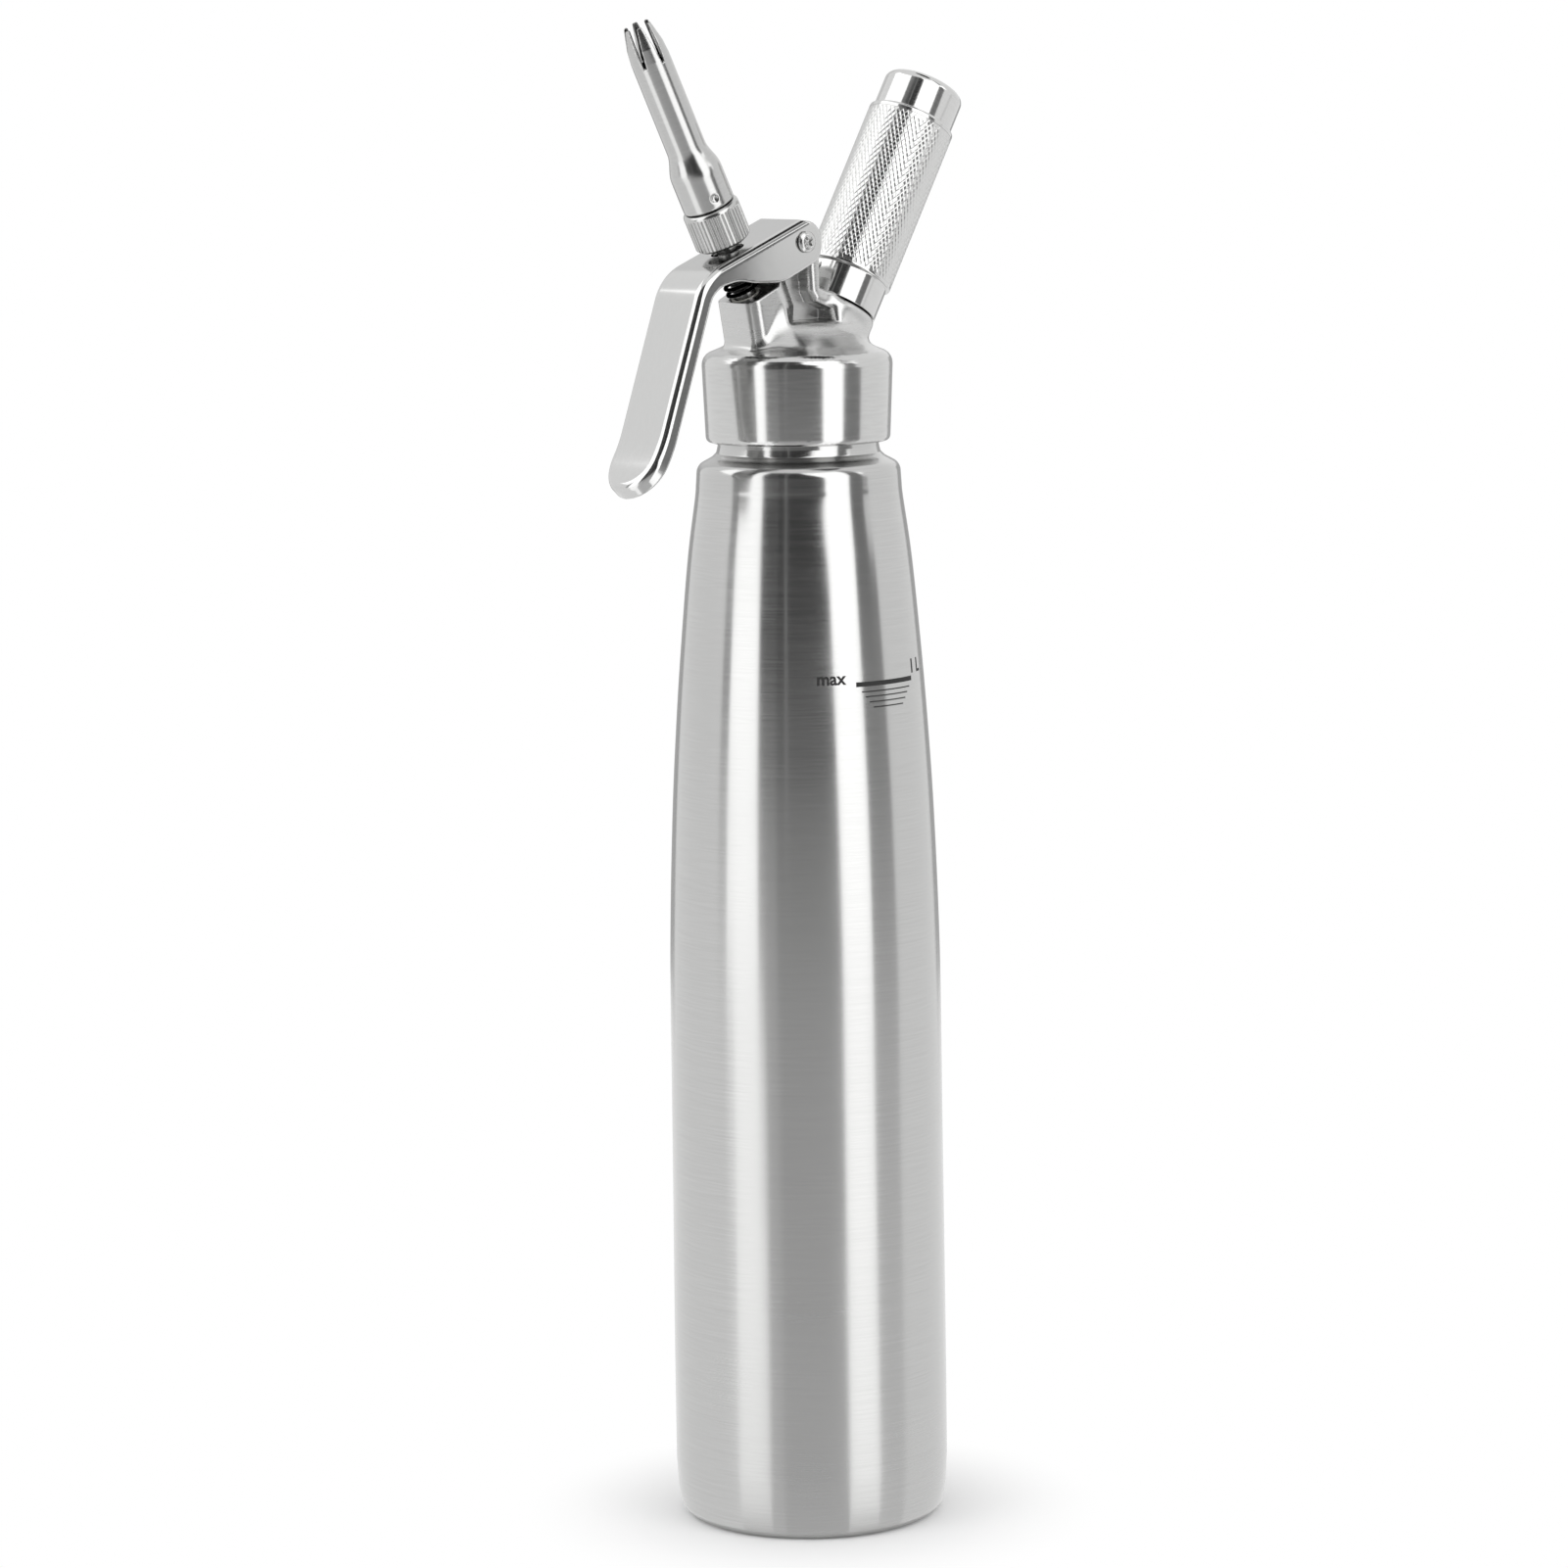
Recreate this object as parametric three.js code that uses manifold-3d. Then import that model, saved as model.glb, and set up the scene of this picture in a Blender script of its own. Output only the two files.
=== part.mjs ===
// Whipped cream dispenser: a one litre steel bottle, a cast head with a lever valve and nozzle, and a charger holder.
// Millimetres, +Z up. The origin lies on the bottle's axis at the level it stands on.
// The lever and nozzle point to -X, the charger holder to +X.
import * as THREE from 'three';
import { mergeVertices } from 'three/addons/utils/BufferGeometryUtils.js';
import Module from 'manifold-3d';

const wasm = await Module();
wasm.setup();

const degrees = THREE.MathUtils.degToRad;

// Clearances and cutting
const touch = 0.3;
const threadGap = 0.4;
const overrun = 2;

// Facets round each kind of piece
const bottleFacets = 56;
const headFacets = 48;
const smallFacets = 24;
const pinFacets = 16;

// Bottle
const bottleRadius = 38.8;
const bottleWall = 1;
const shoulderHeight = 299.4;
const shoulderRadius = 28.6;
const shoulderCorner = 3.4;
const shoulderTurn = 62;
const shoulderRise = 4.8;
const footRadius = 36;
const footWidth = 3;
const footCorner = 2;
const panelRecess = 1;
const baseRise = 16;
const neckRadius = 22.6;
const neckHeight = 20.8;
const neckWall = 1.2;
const neckFillet = 1.2;
const rimRadius = 0.6;

// Head
const skirtGap = 7.4;
const skirtRadius = 26.7;
const skirtDraft = 0.9;
const skirtHeight = 21.6;
const domeCorner = 4;
const domeRise = 7.4;
const gasketThickness = 2;
const gasketWidth = 3.2;
const roofRecess = 3.4;

// Valve line: it leans to -X and starts on the bottle's axis, a rise above the shoulder
const valveLean = 26;
const valveRise = 11.7;
const bossLevel = 41.4;
const seatLevel = 26;
const seatPocketRadius = 6;
const stemRadius = 3;
const stemBore = 1.6;
const stemClearance = 0.6;
const guideWall = 0.8;
const guideLength = 5;

// Charger line: it leans to +X and starts the same way
const chargerLean = 29.2;
const chargerRise = 19.1;
const portLevel = 29;
const portFlat = 11.5;
const portCorner = 12.3;
const portRounding = 2.4;
const stubRadius = 9.9;
const stubHeight = 8.5;
const socketDepth = 3.5;

// Pivot and lug of the head
const pivotX = -4.8;
const pivotRise = 63.2;
const lugRadius = 4.1;
const sleeveRadius = 2;

// Lever
const leverWidth = 20.8;
const leverSheet = 1.5;
const leverEdgeRadius = 2.2;
const leverTopGap = 5.9;
const webLean = 22.4;
const webLength = 36.2;
const webBack = 2.2;
const bendRadius = 15;
const tongueLean = 18.9;
const tongueLength = 62;
const lipLength = 18;
const lipRadius = 40;
const tongueFlange = 4.8;
const flangeDepth = 12.6;
const earRadius = 6;

// Valve stem and what it carries
const poppetRadius = 4.4;
const poppetHeight = 2;
const sealHeight = 2.2;
const sealRadius = 5;
const stemHoleRadius = 0.9;
const washerRadius = 6;
const washerHeight = 1;
const clipRadius = 4.6;
const clipHeight = 1;
const grooveDepth = 0.8;
const ringSection = 0.5;
const springRadius = 4.5;
const springWire = 1.1;
const springTurns = 4;
const webSeat = 0.55;

// Nozzle and its adapter
const adapterLift = 2.2;
const adapterRadius = 8;
const adapterLength = 11.4;
const adapterFlutes = 40;
const fluteDepth = 0.4;
const adapterChamfer = 0.7;
const nozzleLength = 54.4;
const nozzleRadius = 5.5;
const nozzleBaseRadius = 7.3;
const nozzleBaseLength = 9.6;
const nozzleFlare = 8;
const nozzleWall = 1.1;
const nozzleTipRadius = 3.9;
const nozzleTipLength = 10;
const nozzleSlots = 6;
const slotWidth = 2.4;
const slotEnd = 0.8;
const slotDepth = 11;
const spigotRadius = 4.6;
const spigotLength = 8;
const nozzleGasketHeight = 1.2;

// Charger holder and charger
const holderCollarRadius = 11.6;
const holderCollarLength = 9.2;
const holderRadius = 12.5;
const holderCapRadius = 11.5;
const holderCapLength = 11.2;
const holderCapCorner = 2.4;
const holderTopWall = 2.6;
const chargerRadius = 9.3;
const chargerLength = 65.5;
const chargerNeckRadius = 4.4;
const chargerNeckLength = 9;
const chargerShoulder = 7;
const chargerWall = 1.6;
const chargerPierce = 1.3;

// Piercing valve
const piercerFlangeRadius = 4.9;
const piercerFlangeHeight = 2;
const piercerRadius = 3.5;
const piercerLength = 18;
const piercerBore = 1.3;
const pinRadius = 0.9;
const pinReach = 2.2;
const pinDepth = 9;
const chargerSealHeight = 2;
const sleeveWall = 0.7;
const sleeveLength = 4;

// Lever screw
const screwHeadRadius = 3;
const screwHeadHeight = 1.3;
const screwShank = 1.2;
const sleeveHeadHeight = 1.2;

// Colours and finish
const steel = { color: 0xc9c9c7, roughness: 0.24, metalness: 1 };
const brushed = { color: 0xbfbfbd, roughness: 0.38, metalness: 1 };
const rubber = { color: 0x2b2b2c, roughness: 0.8, metalness: 0 };
const silicone = { color: 0xb4372f, roughness: 0.7, metalness: 0 };
const nylon = { color: 0xe6e2d6, roughness: 0.6, metalness: 0 };
const brass = { color: 0xb99a55, roughness: 0.35, metalness: 1 };

// Levels that follow from the sizes above
const valveFocus = shoulderHeight + valveRise;
const chargerFocus = shoulderHeight + chargerRise;
const pivotZ = shoulderHeight + pivotRise;
const neckBase = shoulderHeight + shoulderRise;
const mouth = neckBase + neckHeight;
const skirtBottom = shoulderHeight + skirtGap;
const skirtTop = skirtBottom + skirtHeight;
const gasketSeat = mouth + touch + gasketThickness + touch;
const roof = gasketSeat + roofRecess;
const headBore = neckRadius + threadGap;
const gasketInner = headBore - gasketWidth;
const lugHalf = leverWidth / 2 - leverSheet - touch;
const stemHole = stemRadius + stemClearance;
const guideHole = stemRadius + touch + guideWall + touch;

const valveDirection = new THREE.Vector2(-Math.sin(degrees(valveLean)), Math.cos(degrees(valveLean)));
const pivot = new THREE.Vector2(pivotX, pivotZ);
const webDirection = new THREE.Vector2(-Math.cos(degrees(webLean)), -Math.sin(degrees(webLean)));
const webNormal = new THREE.Vector2(webDirection.y, -webDirection.x);
const tongueDirection = new THREE.Vector2(-Math.sin(degrees(tongueLean)), -Math.cos(degrees(tongueLean)));
const webOrigin = pivot.clone().addScaledVector(webNormal, leverTopGap);

// Where the valve line meets the top and the underside of the lever's web
const webOnValve = levelOnValve(leverTopGap);
const webUnder = levelOnValve(leverTopGap - leverSheet);
const washerTop = webUnder - webSeat - clipHeight - touch;
const adapterLevel = webOnValve + adapterLift;
const nozzleLevel = adapterLevel + adapterLength + touch;
const springBottom = bossLevel + touch;
const springTop = washerTop - washerHeight - touch;

// Distance along the valve line to a plane that lies a given height over the pivot, square to the web
function levelOnValve(height) {
  const start = new THREE.Vector2(0, valveFocus).sub(pivot);
  return (height - start.dot(webNormal)) / valveDirection.dot(webNormal);
}

// Turns a closed geometry into a solid that can be cut and joined
function solid(geometry) {
  const bare = geometry.index ? geometry.clone() : mergeVertices(geometry.clone());
  for (const name of Object.keys(bare.attributes)) {
    if (name !== 'position') bare.deleteAttribute(name);
  }
  const merged = mergeVertices(bare);
  const triVerts = new Uint32Array(closedTriangles(merged.index.array));
  const vertProperties = new Float32Array(merged.attributes.position.array);
  return outward(new wasm.Mesh({ numProp: 3, vertProperties, triVerts }));
}

function closedTriangles(index) {
  const kept = [];
  for (let i = 0; i < index.length; i += 3) {
    const [a, b, c] = index.slice(i, i + 3);
    if (a !== b && b !== c && c !== a) kept.push(a, b, c);
  }
  return kept;
}

// A solid whose faces point inwards is turned inside out
function outward(mesh) {
  const made = new wasm.Manifold(mesh);
  if (made.volume() > 0) return made;
  const flipped = [];
  for (let i = 0; i < mesh.triVerts.length; i += 3) {
    flipped.push(mesh.triVerts[i], mesh.triVerts[i + 2], mesh.triVerts[i + 1]);
  }
  return new wasm.Manifold(new wasm.Mesh({
    numProp: 3,
    vertProperties: mesh.vertProperties,
    triVerts: new Uint32Array(flipped),
  }));
}

function geometryOf(shape) {
  const mesh = shape.getMesh();
  const geometry = new THREE.BufferGeometry();
  geometry.setAttribute('position', new THREE.BufferAttribute(new Float32Array(mesh.vertProperties), 3));
  geometry.setIndex(new THREE.BufferAttribute(new Uint32Array(mesh.triVerts), 1));
  geometry.computeVertexNormals();
  return geometry;
}

// A revolve about Z of [radius, height] points that start and end on the axis
function revolve(points, facets) {
  const profile = points.map(([r, z]) => new THREE.Vector2(r, z));
  return solid(new THREE.LatheGeometry(profile, facets).rotateX(Math.PI / 2));
}

// A ring about Z: its section closes on itself
function ring(points, facets) {
  return revolve([...points, points[0]], facets);
}

function tube(inner, outer, bottom, top, facets) {
  return ring([[inner, bottom], [outer, bottom], [outer, top], [inner, top]], facets);
}

function rod(radius, bottom, top, facets) {
  return revolve([[0, bottom], [radius, bottom], [radius, top], [0, top]], facets);
}

// Points on an arc, angles in degrees
function arc(x, y, radius, from, to, steps) {
  const points = [];
  for (let i = 0; i <= steps; i++) {
    const angle = degrees(from + ((to - from) * i) / steps);
    points.push([x + radius * Math.cos(angle), y + radius * Math.sin(angle)]);
  }
  return points;
}

// A plate with an outline of [x, z] points, from -half to half along Y
function plate(outline, half) {
  const shape = new THREE.Shape(outline.map(([x, z]) => new THREE.Vector2(x, z)));
  const geometry = new THREE.ExtrudeGeometry(shape, { depth: 2 * half, bevelEnabled: false });
  return solid(geometry.rotateX(Math.PI / 2).translate(0, half, 0));
}

// A prism with an outline of [x, y] points, from bottom to top along Z
function prism(outline, bottom, top) {
  const shape = new THREE.Shape(outline.map(([x, y]) => new THREE.Vector2(x, y)));
  const geometry = new THREE.ExtrudeGeometry(shape, { depth: top - bottom, bevelEnabled: false });
  return solid(geometry.translate(0, 0, bottom));
}

// A loft through sections of equal point counts, each a list of [x, y, z]
function loft(sections) {
  const count = sections[0].length;
  const positions = sections.flat(2);
  const index = [];
  for (let k = 0; k + 1 < sections.length; k++) {
    for (let i = 0; i < count; i++) {
      const a = k * count + i;
      const b = k * count + ((i + 1) % count);
      index.push(a, b, a + count, b, b + count, a + count);
    }
  }
  const flat = sections[0].map((p) => new THREE.Vector2(...flatPoint(p, sections)));
  const last = (sections.length - 1) * count;
  for (const [a, b, c] of THREE.ShapeUtils.triangulateShape(flat, [])) {
    index.push(a, c, b, last + a, last + b, last + c);
  }
  const geometry = new THREE.BufferGeometry();
  geometry.setAttribute('position', new THREE.Float32BufferAttribute(positions, 3));
  geometry.setIndex(index);
  return solid(geometry);
}

// Section points without the coordinate that the loft runs along
function flatPoint(point, sections) {
  const last = sections[sections.length - 1][0];
  const run = [0, 1, 2].map((axis) => Math.abs(last[axis] - sections[0][0][axis]));
  const along = run.indexOf(Math.max(...run));
  return point.filter((_, axis) => axis !== along);
}

function named(name, shape, finish) {
  const geometry = shape.isBufferGeometry ? shape : geometryOf(shape);
  const mesh = new THREE.Mesh(geometry, new THREE.MeshStandardMaterial(finish));
  mesh.name = name;
  return mesh;
}

// Moves a solid from a line's own frame, where Z runs along the line, to the object's frame
function onLine(shape, lean, focus) {
  return shape.rotate([0, lean, 0]).translate([0, 0, focus]);
}

function onValve(shape) {
  return onLine(shape, -valveLean, valveFocus);
}

function onCharger(shape) {
  return onLine(shape, chargerLean, chargerFocus);
}

// Bottle

// Side of the bottle: radius as a share of the bottle's, height as a share of the shoulder's
const bottleSideShares = [[1, 0.16], [0.992, 0.37], [0.986, 0.535], [0.954, 0.669], [0.909, 0.769],
  [0.857, 0.853], [0.807, 0.92], [0.752, 0.972], [0.743, 0.985]];

function bottleSide(inset) {
  const knots = [new THREE.Vector2(bottleRadius - inset, baseRise)];
  for (const [radiusShare, heightShare] of bottleSideShares) {
    knots.push(new THREE.Vector2(bottleRadius * radiusShare - inset, shoulderHeight * heightShare));
  }
  return new THREE.SplineCurve(knots).getPoints(10).map((p) => [p.x, p.y]);
}

function bottleShell() {
  const panelRadius = footRadius - footWidth;
  const cornerRadius = footRadius + footCorner;
  const innerNeck = neckRadius - neckWall;
  const cornerStart = shoulderRadius - shoulderCorner;
  const cornerLevel = shoulderHeight - shoulderCorner / 3;
  const profile = [
    [0, panelRecess],
    [panelRadius - panelRecess, panelRecess],
    [panelRadius, 0],
    ...arc(footRadius, footCorner, footCorner, -90, 0, 3),
    [(cornerRadius + bottleRadius) / 2 + footCorner / 8, baseRise / 2],
    ...bottleSide(0),
    ...arc(cornerStart, cornerLevel, shoulderCorner, 0, shoulderTurn, 4),
    [neckRadius + neckFillet, neckBase - neckFillet],
    [neckRadius, neckBase],
    ...arc(neckRadius - rimRadius, mouth - rimRadius, rimRadius, 0, 180, 4),
    [innerNeck, neckBase],
    [innerNeck, neckBase - bottleWall],
    [innerNeck + neckFillet, neckBase - neckFillet - bottleWall],
    ...arc(cornerStart, cornerLevel, shoulderCorner - bottleWall, shoulderTurn, 0, 3),
    ...bottleSide(bottleWall).reverse(),
    [(cornerRadius + bottleRadius) / 2 + footCorner / 8 - bottleWall, baseRise / 2],
    ...arc(footRadius, footCorner, footCorner - bottleWall, 0, -90, 2),
    [panelRadius, bottleWall],
    [panelRadius - panelRecess, panelRecess + bottleWall],
    [0, panelRecess + bottleWall],
  ];
  return revolve(profile, bottleFacets);
}

// Head

function headBody() {
  const domeStart = skirtRadius - domeCorner;
  const profile = [
    [0, skirtBottom],
    [skirtRadius - skirtDraft - rimRadius, skirtBottom],
    [skirtRadius - skirtDraft, skirtBottom + rimRadius],
    ...arc(domeStart, skirtTop, domeCorner, 0, 75, 6),
    ...arcDome(domeStart),
  ];
  return revolve(profile, headFacets);
}

// The dome falls from the middle towards the rounded top of the skirt
function arcDome(edge) {
  const base = skirtTop + domeCorner;
  const steps = 6;
  const points = [];
  for (let i = 1; i <= steps; i++) {
    const share = i / steps;
    points.push([edge * (1 - share), base + domeRise * Math.sin((share * Math.PI) / 2)]);
  }
  return points;
}

// Centre wall of the casting: the valve boss on the left and the pivot lug on the right
function centreWall() {
  const top = valvePoint(bossLevel, -(stemHole + guideWall + 2 * touch));
  const topRight = valvePoint(bossLevel, washerRadius);
  const lugRight = pivotX + lugRadius + leverEdgeRadius + touch;
  const outline = [
    [top[0] + domeCorner * 0.8, skirtTop],
    top,
    topRight,
    ...arc(pivotX, pivotZ, lugRadius, 160, 0, 8),
    [lugRight, pivotZ - lugRadius - leverSheet],
    [lugRight, portPoint(portLevel, -portFlat)[1] + touch],
    portPoint(portLevel, -portFlat + stemRadius),
    portPoint(portLevel - stubHeight, 0),
    [0, skirtTop],
  ];
  return plate(outline, lugHalf);
}

// A point on the valve line's plane: level along the line, across it to +X
function valvePoint(level, across) {
  const cos = Math.cos(degrees(valveLean));
  const sin = Math.sin(degrees(valveLean));
  return [across * cos - level * sin, valveFocus + level * cos + across * sin];
}

// The same on the charger line
function portPoint(level, across) {
  const cos = Math.cos(degrees(chargerLean));
  const sin = Math.sin(degrees(chargerLean));
  return [across * cos + level * sin, chargerFocus + level * cos - across * sin];
}

// Fillet between the dome and the centre wall: rounded sections that narrow upwards, wider at the port
function wallFillet() {
  const reach = domeRise;
  const left = valvePoint(bossLevel, -stemHole)[0] + reach;
  const right = portPoint(portLevel, 0)[0] - piercerRadius;
  const sections = [];
  const steps = 6;
  for (let i = 0; i <= steps; i++) {
    const angle = (i / steps) * (Math.PI / 2);
    const spread = reach * (1 - Math.sin(angle));
    const z = skirtTop + domeCorner + reach * (4 / 3 - Math.cos(angle));
    sections.push(roundedSection(left, right + spread / 3, lugHalf + spread / 4, lugHalf + spread, z));
  }
  const first = sections[0].map(([x, y]) => [x, y, skirtTop]);
  return loft([first, ...sections]);
}

function roundedSection(left, right, leftHalf, rightHalf, z) {
  const radius = lugHalf * 0.8;
  const corners = [
    arc(right - radius, rightHalf - radius, radius, 0, 90, 4),
    arc(left + radius, leftHalf - radius, radius, 90, 180, 4),
    arc(left + radius, radius - leftHalf, radius, 180, 270, 4),
    arc(right - radius, radius - rightHalf, radius, 270, 360, 4),
  ];
  return corners.flat().map(([x, y]) => [x, y, z]);
}

// Port of the charger: a six sided boss with rounded corners and a stub that the holder screws on
function portBoss() {
  const corner = portFlat / Math.cos(Math.PI / 6);
  const hexagon = [0, 60, 120, 180, 240, 300].map((angle) => {
    return [corner * Math.cos(degrees(angle)), corner * Math.sin(degrees(angle))];
  });
  const flats = prism(hexagon, 0, portLevel);
  const round = revolve([
    [0, 0],
    [portCorner, 0],
    ...arc(portCorner - portRounding, portLevel - portRounding, portRounding, 0, 60, 3),
    [portCorner - portRounding, portLevel],
    [0, portLevel],
  ], headFacets);
  const stub = rod(stubRadius, portLevel - overrun, portLevel + stubHeight, smallFacets);
  return onCharger(flats.intersect(round).add(stub));
}

// Pocket in each side of the lug, with a soft left edge
function lugPocket(side) {
  const floor = skirtTop + domeCorner + domeRise + touch * 3;
  const wing = pivotX + lugRadius - leverSheet;
  const left = pivotX - lugRadius + touch;
  const shape = [
    [left, pivotZ - lugRadius - leverSheet],
    [left + touch, pivotZ - 2.6 * lugRadius],
    [left + leverSheet * 2.2, floor + lugRadius],
    [left + leverSheet * 2, floor],
    [wing + lugRadius + 2 * leverSheet, floor],
    [wing + lugRadius + 2 * leverSheet, floor + leverSheet * 2],
    [wing + lugRadius / 2, floor + leverSheet * 3.4],
    [wing + leverSheet / 3, floor + leverSheet * 5.4],
    [wing, pivotZ - lugRadius - leverSheet],
  ];
  const soft = shape.map(([x, z], i) => [i < 4 ? x - leverSheet * 2 : x, z]);
  const depth = lugHalf * 0.7;
  const sections = [
    soft.map(([x, z]) => [x, side * (lugHalf + overrun), z]),
    soft.map(([x, z]) => [x, side * lugHalf, z]),
    shape.map(([x, z]) => [x, side * (lugHalf - leverSheet), z]),
    shape.map(([x, z]) => [x, side * (lugHalf - depth), z]),
  ];
  return loft(sections);
}

function headCasting() {
  const cavity = revolve([
    [0, skirtBottom - overrun],
    [headBore, skirtBottom - overrun],
    [headBore, gasketSeat],
    [gasketInner, gasketSeat],
    [gasketInner, roof],
    [0, roof],
  ], headFacets);
  const stemCut = rod(stemHole, 0, bossLevel + overrun, smallFacets);
  const guideCut = rod(guideHole, bossLevel - guideLength, bossLevel + overrun, smallFacets);
  const seatCut = rod(seatPocketRadius, seatLevel - stubRadius, seatLevel, smallFacets);
  const valveCut = onValve(stemCut.add(guideCut).add(seatCut));
  const pierceCut = rod(piercerRadius + touch, 0, portLevel, smallFacets);
  const socketFloor = portLevel - socketDepth;
  const socketCut = rod(piercerFlangeRadius + touch, socketFloor, portLevel + stubHeight + overrun, smallFacets);
  const portCut = onCharger(pierceCut.add(socketCut));
  const pivotCut = rod(sleeveRadius + touch, -leverWidth, leverWidth, pinFacets)
    .rotate([90, 0, 0])
    .translate([pivotX, 0, pivotZ]);
  return headBody()
    .add(centreWall())
    .add(wallFillet())
    .add(portBoss())
    .subtract(lugPocket(-1))
    .subtract(lugPocket(1))
    .subtract(cavity)
    .subtract(valveCut)
    .subtract(portCut)
    .subtract(pivotCut);
}

// Lever: a tray pressed from sheet, bent at the front, with ears at the back

// A point of the lever's sheet: u along it from the pivot, depth below its outer face
function leverPoint(u, depth) {
  const turn = degrees(90 - webLean - tongueLean);
  const bendStart = webLength - bendRadius * Math.tan(turn / 2);
  const bendLength = bendRadius * turn;
  const along = Math.min(u, bendStart);
  const angle = Math.min(Math.max(u - bendStart, 0) / bendRadius, turn);
  const rest = Math.max(u - bendStart - bendLength, 0);
  const lipAngle = Math.max(u - lipStart(), 0) / lipRadius;
  const start = webOrigin.clone().addScaledVector(webDirection, along);
  const centre = start.clone().addScaledVector(webNormal, -bendRadius);
  const out = webNormal.clone().rotateAround(new THREE.Vector2(), angle);
  const across = bendRadius + lipRadius - (lipRadius + depth) * Math.cos(lipAngle);
  const onward = rest - lipRadius * lipAngle + (lipRadius + depth) * Math.sin(lipAngle);
  return centre.addScaledVector(out, across).addScaledVector(tongueDirection, onward);
}

function leverRun() {
  const turn = degrees(90 - webLean - tongueLean);
  return webLength + tongueLength - 2 * bendRadius * Math.tan(turn / 2) + bendRadius * turn;
}

// Where the tongue starts to curve outwards to its lip
function lipStart() {
  return leverRun() - lipLength;
}

// One closed layer of the tray: left and right points in pairs from the back to the round tip
function trayLayer(inset, depth, back) {
  const turn = degrees(90 - webLean - tongueLean);
  const bendStart = webLength - bendRadius * Math.tan(turn / 2);
  const bendEnd = bendStart + bendRadius * turn;
  const tipRadius = leverWidth / 2;
  const tipCentre = leverRun() - tipRadius;
  const half = leverWidth / 2 - inset;
  const pairs = [[-back, half]];
  const bendSteps = 6;
  for (let i = 0; i <= bendSteps; i++) {
    pairs.push([bendStart + ((bendEnd - bendStart) * i) / bendSteps, half]);
  }
  const lipSteps = 3;
  for (let i = 0; i < lipSteps; i++) {
    pairs.push([lipStart() + ((tipCentre - lipStart()) * i) / lipSteps, half]);
  }
  const tipSteps = 9;
  for (let i = 0; i < tipSteps; i++) {
    const angle = (i / tipSteps) * (Math.PI / 2);
    pairs.push([tipCentre + half * Math.sin(angle), half * Math.cos(angle)]);
  }
  const tip = [tipCentre + half, 0];
  const place = ([u, y]) => {
    const point = leverPoint(u, depth);
    return [point.x, y, point.y];
  };
  const left = pairs.map(([u, y]) => place([u, -y]));
  const right = pairs.map(([u, y]) => place([u, y]));
  return [...left, place(tip), ...right.reverse()];
}

// A solid tray from its layers, with flat faces closed across the pairs
function tray(layers) {
  const count = layers[0].length;
  const index = [];
  for (let k = 0; k + 1 < layers.length; k++) {
    for (let i = 0; i < count; i++) {
      const a = k * count + i;
      const b = k * count + ((i + 1) % count);
      index.push(a, b, a + count, b, b + count, a + count);
    }
  }
  const last = (layers.length - 1) * count;
  for (let i = 0; 2 * (i + 1) < count; i++) {
    const a = i;
    const b = i + 1;
    const c = count - 1 - i;
    const d = count - 2 - i;
    index.push(a, c, b, last + a, last + b, last + c);
    if (d !== b) index.push(b, c, d, last + b, last + d, last + c);
  }
  const geometry = new THREE.BufferGeometry();
  geometry.setAttribute('position', new THREE.Float32BufferAttribute(layers.flat(2), 3));
  geometry.setIndex(index);
  return solid(geometry);
}

// Side view of the lever: the edge of its flanges, from the back of the ear to the tip
function leverSide() {
  const earBack = pivotX + earRadius;
  const far = overrun + leverSheet;
  const at = (u, depth) => leverPoint(u, depth).toArray();
  const turn = degrees(90 - webLean - tongueLean);
  const bendEnd = webLength - bendRadius * Math.tan(turn / 2) + bendRadius * turn;
  const tipEnd = leverRun();
  const lip = [0, 1, 2, 3, 4, 5].map((i) => lipStart() + ((tipEnd + far - lipStart()) * i) / 5);
  const lower = new THREE.SplineCurve([
    new THREE.Vector2(...at(-earRadius / 3, flangeDepth)),
    new THREE.Vector2(...at(earRadius, flangeDepth * 1.02)),
    new THREE.Vector2(...at(2 * earRadius, flangeDepth)),
    new THREE.Vector2(...at(3.4 * earRadius, flangeDepth * 0.72)),
    new THREE.Vector2(...at(4.4 * earRadius, flangeDepth * 0.48)),
    new THREE.Vector2(...at(bendEnd - bendRadius / 3, flangeDepth * 0.38)),
    new THREE.Vector2(...at(bendEnd + bendRadius / 3, tongueFlange)),
  ]);
  return [
    ...arc(pivotX, pivotZ, earRadius, 0, 75, 5).reverse(),
    [earBack, pivotZ - earRadius * 0.6],
    ...lower.getPoints(18).map((p) => [p.x, p.y]),
    ...lip.map((u) => at(u, tongueFlange)),
    ...lip.reverse().map((u) => at(u, -far)),
    at(bendEnd, -far),
    at(0, -far),
  ];
}

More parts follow.
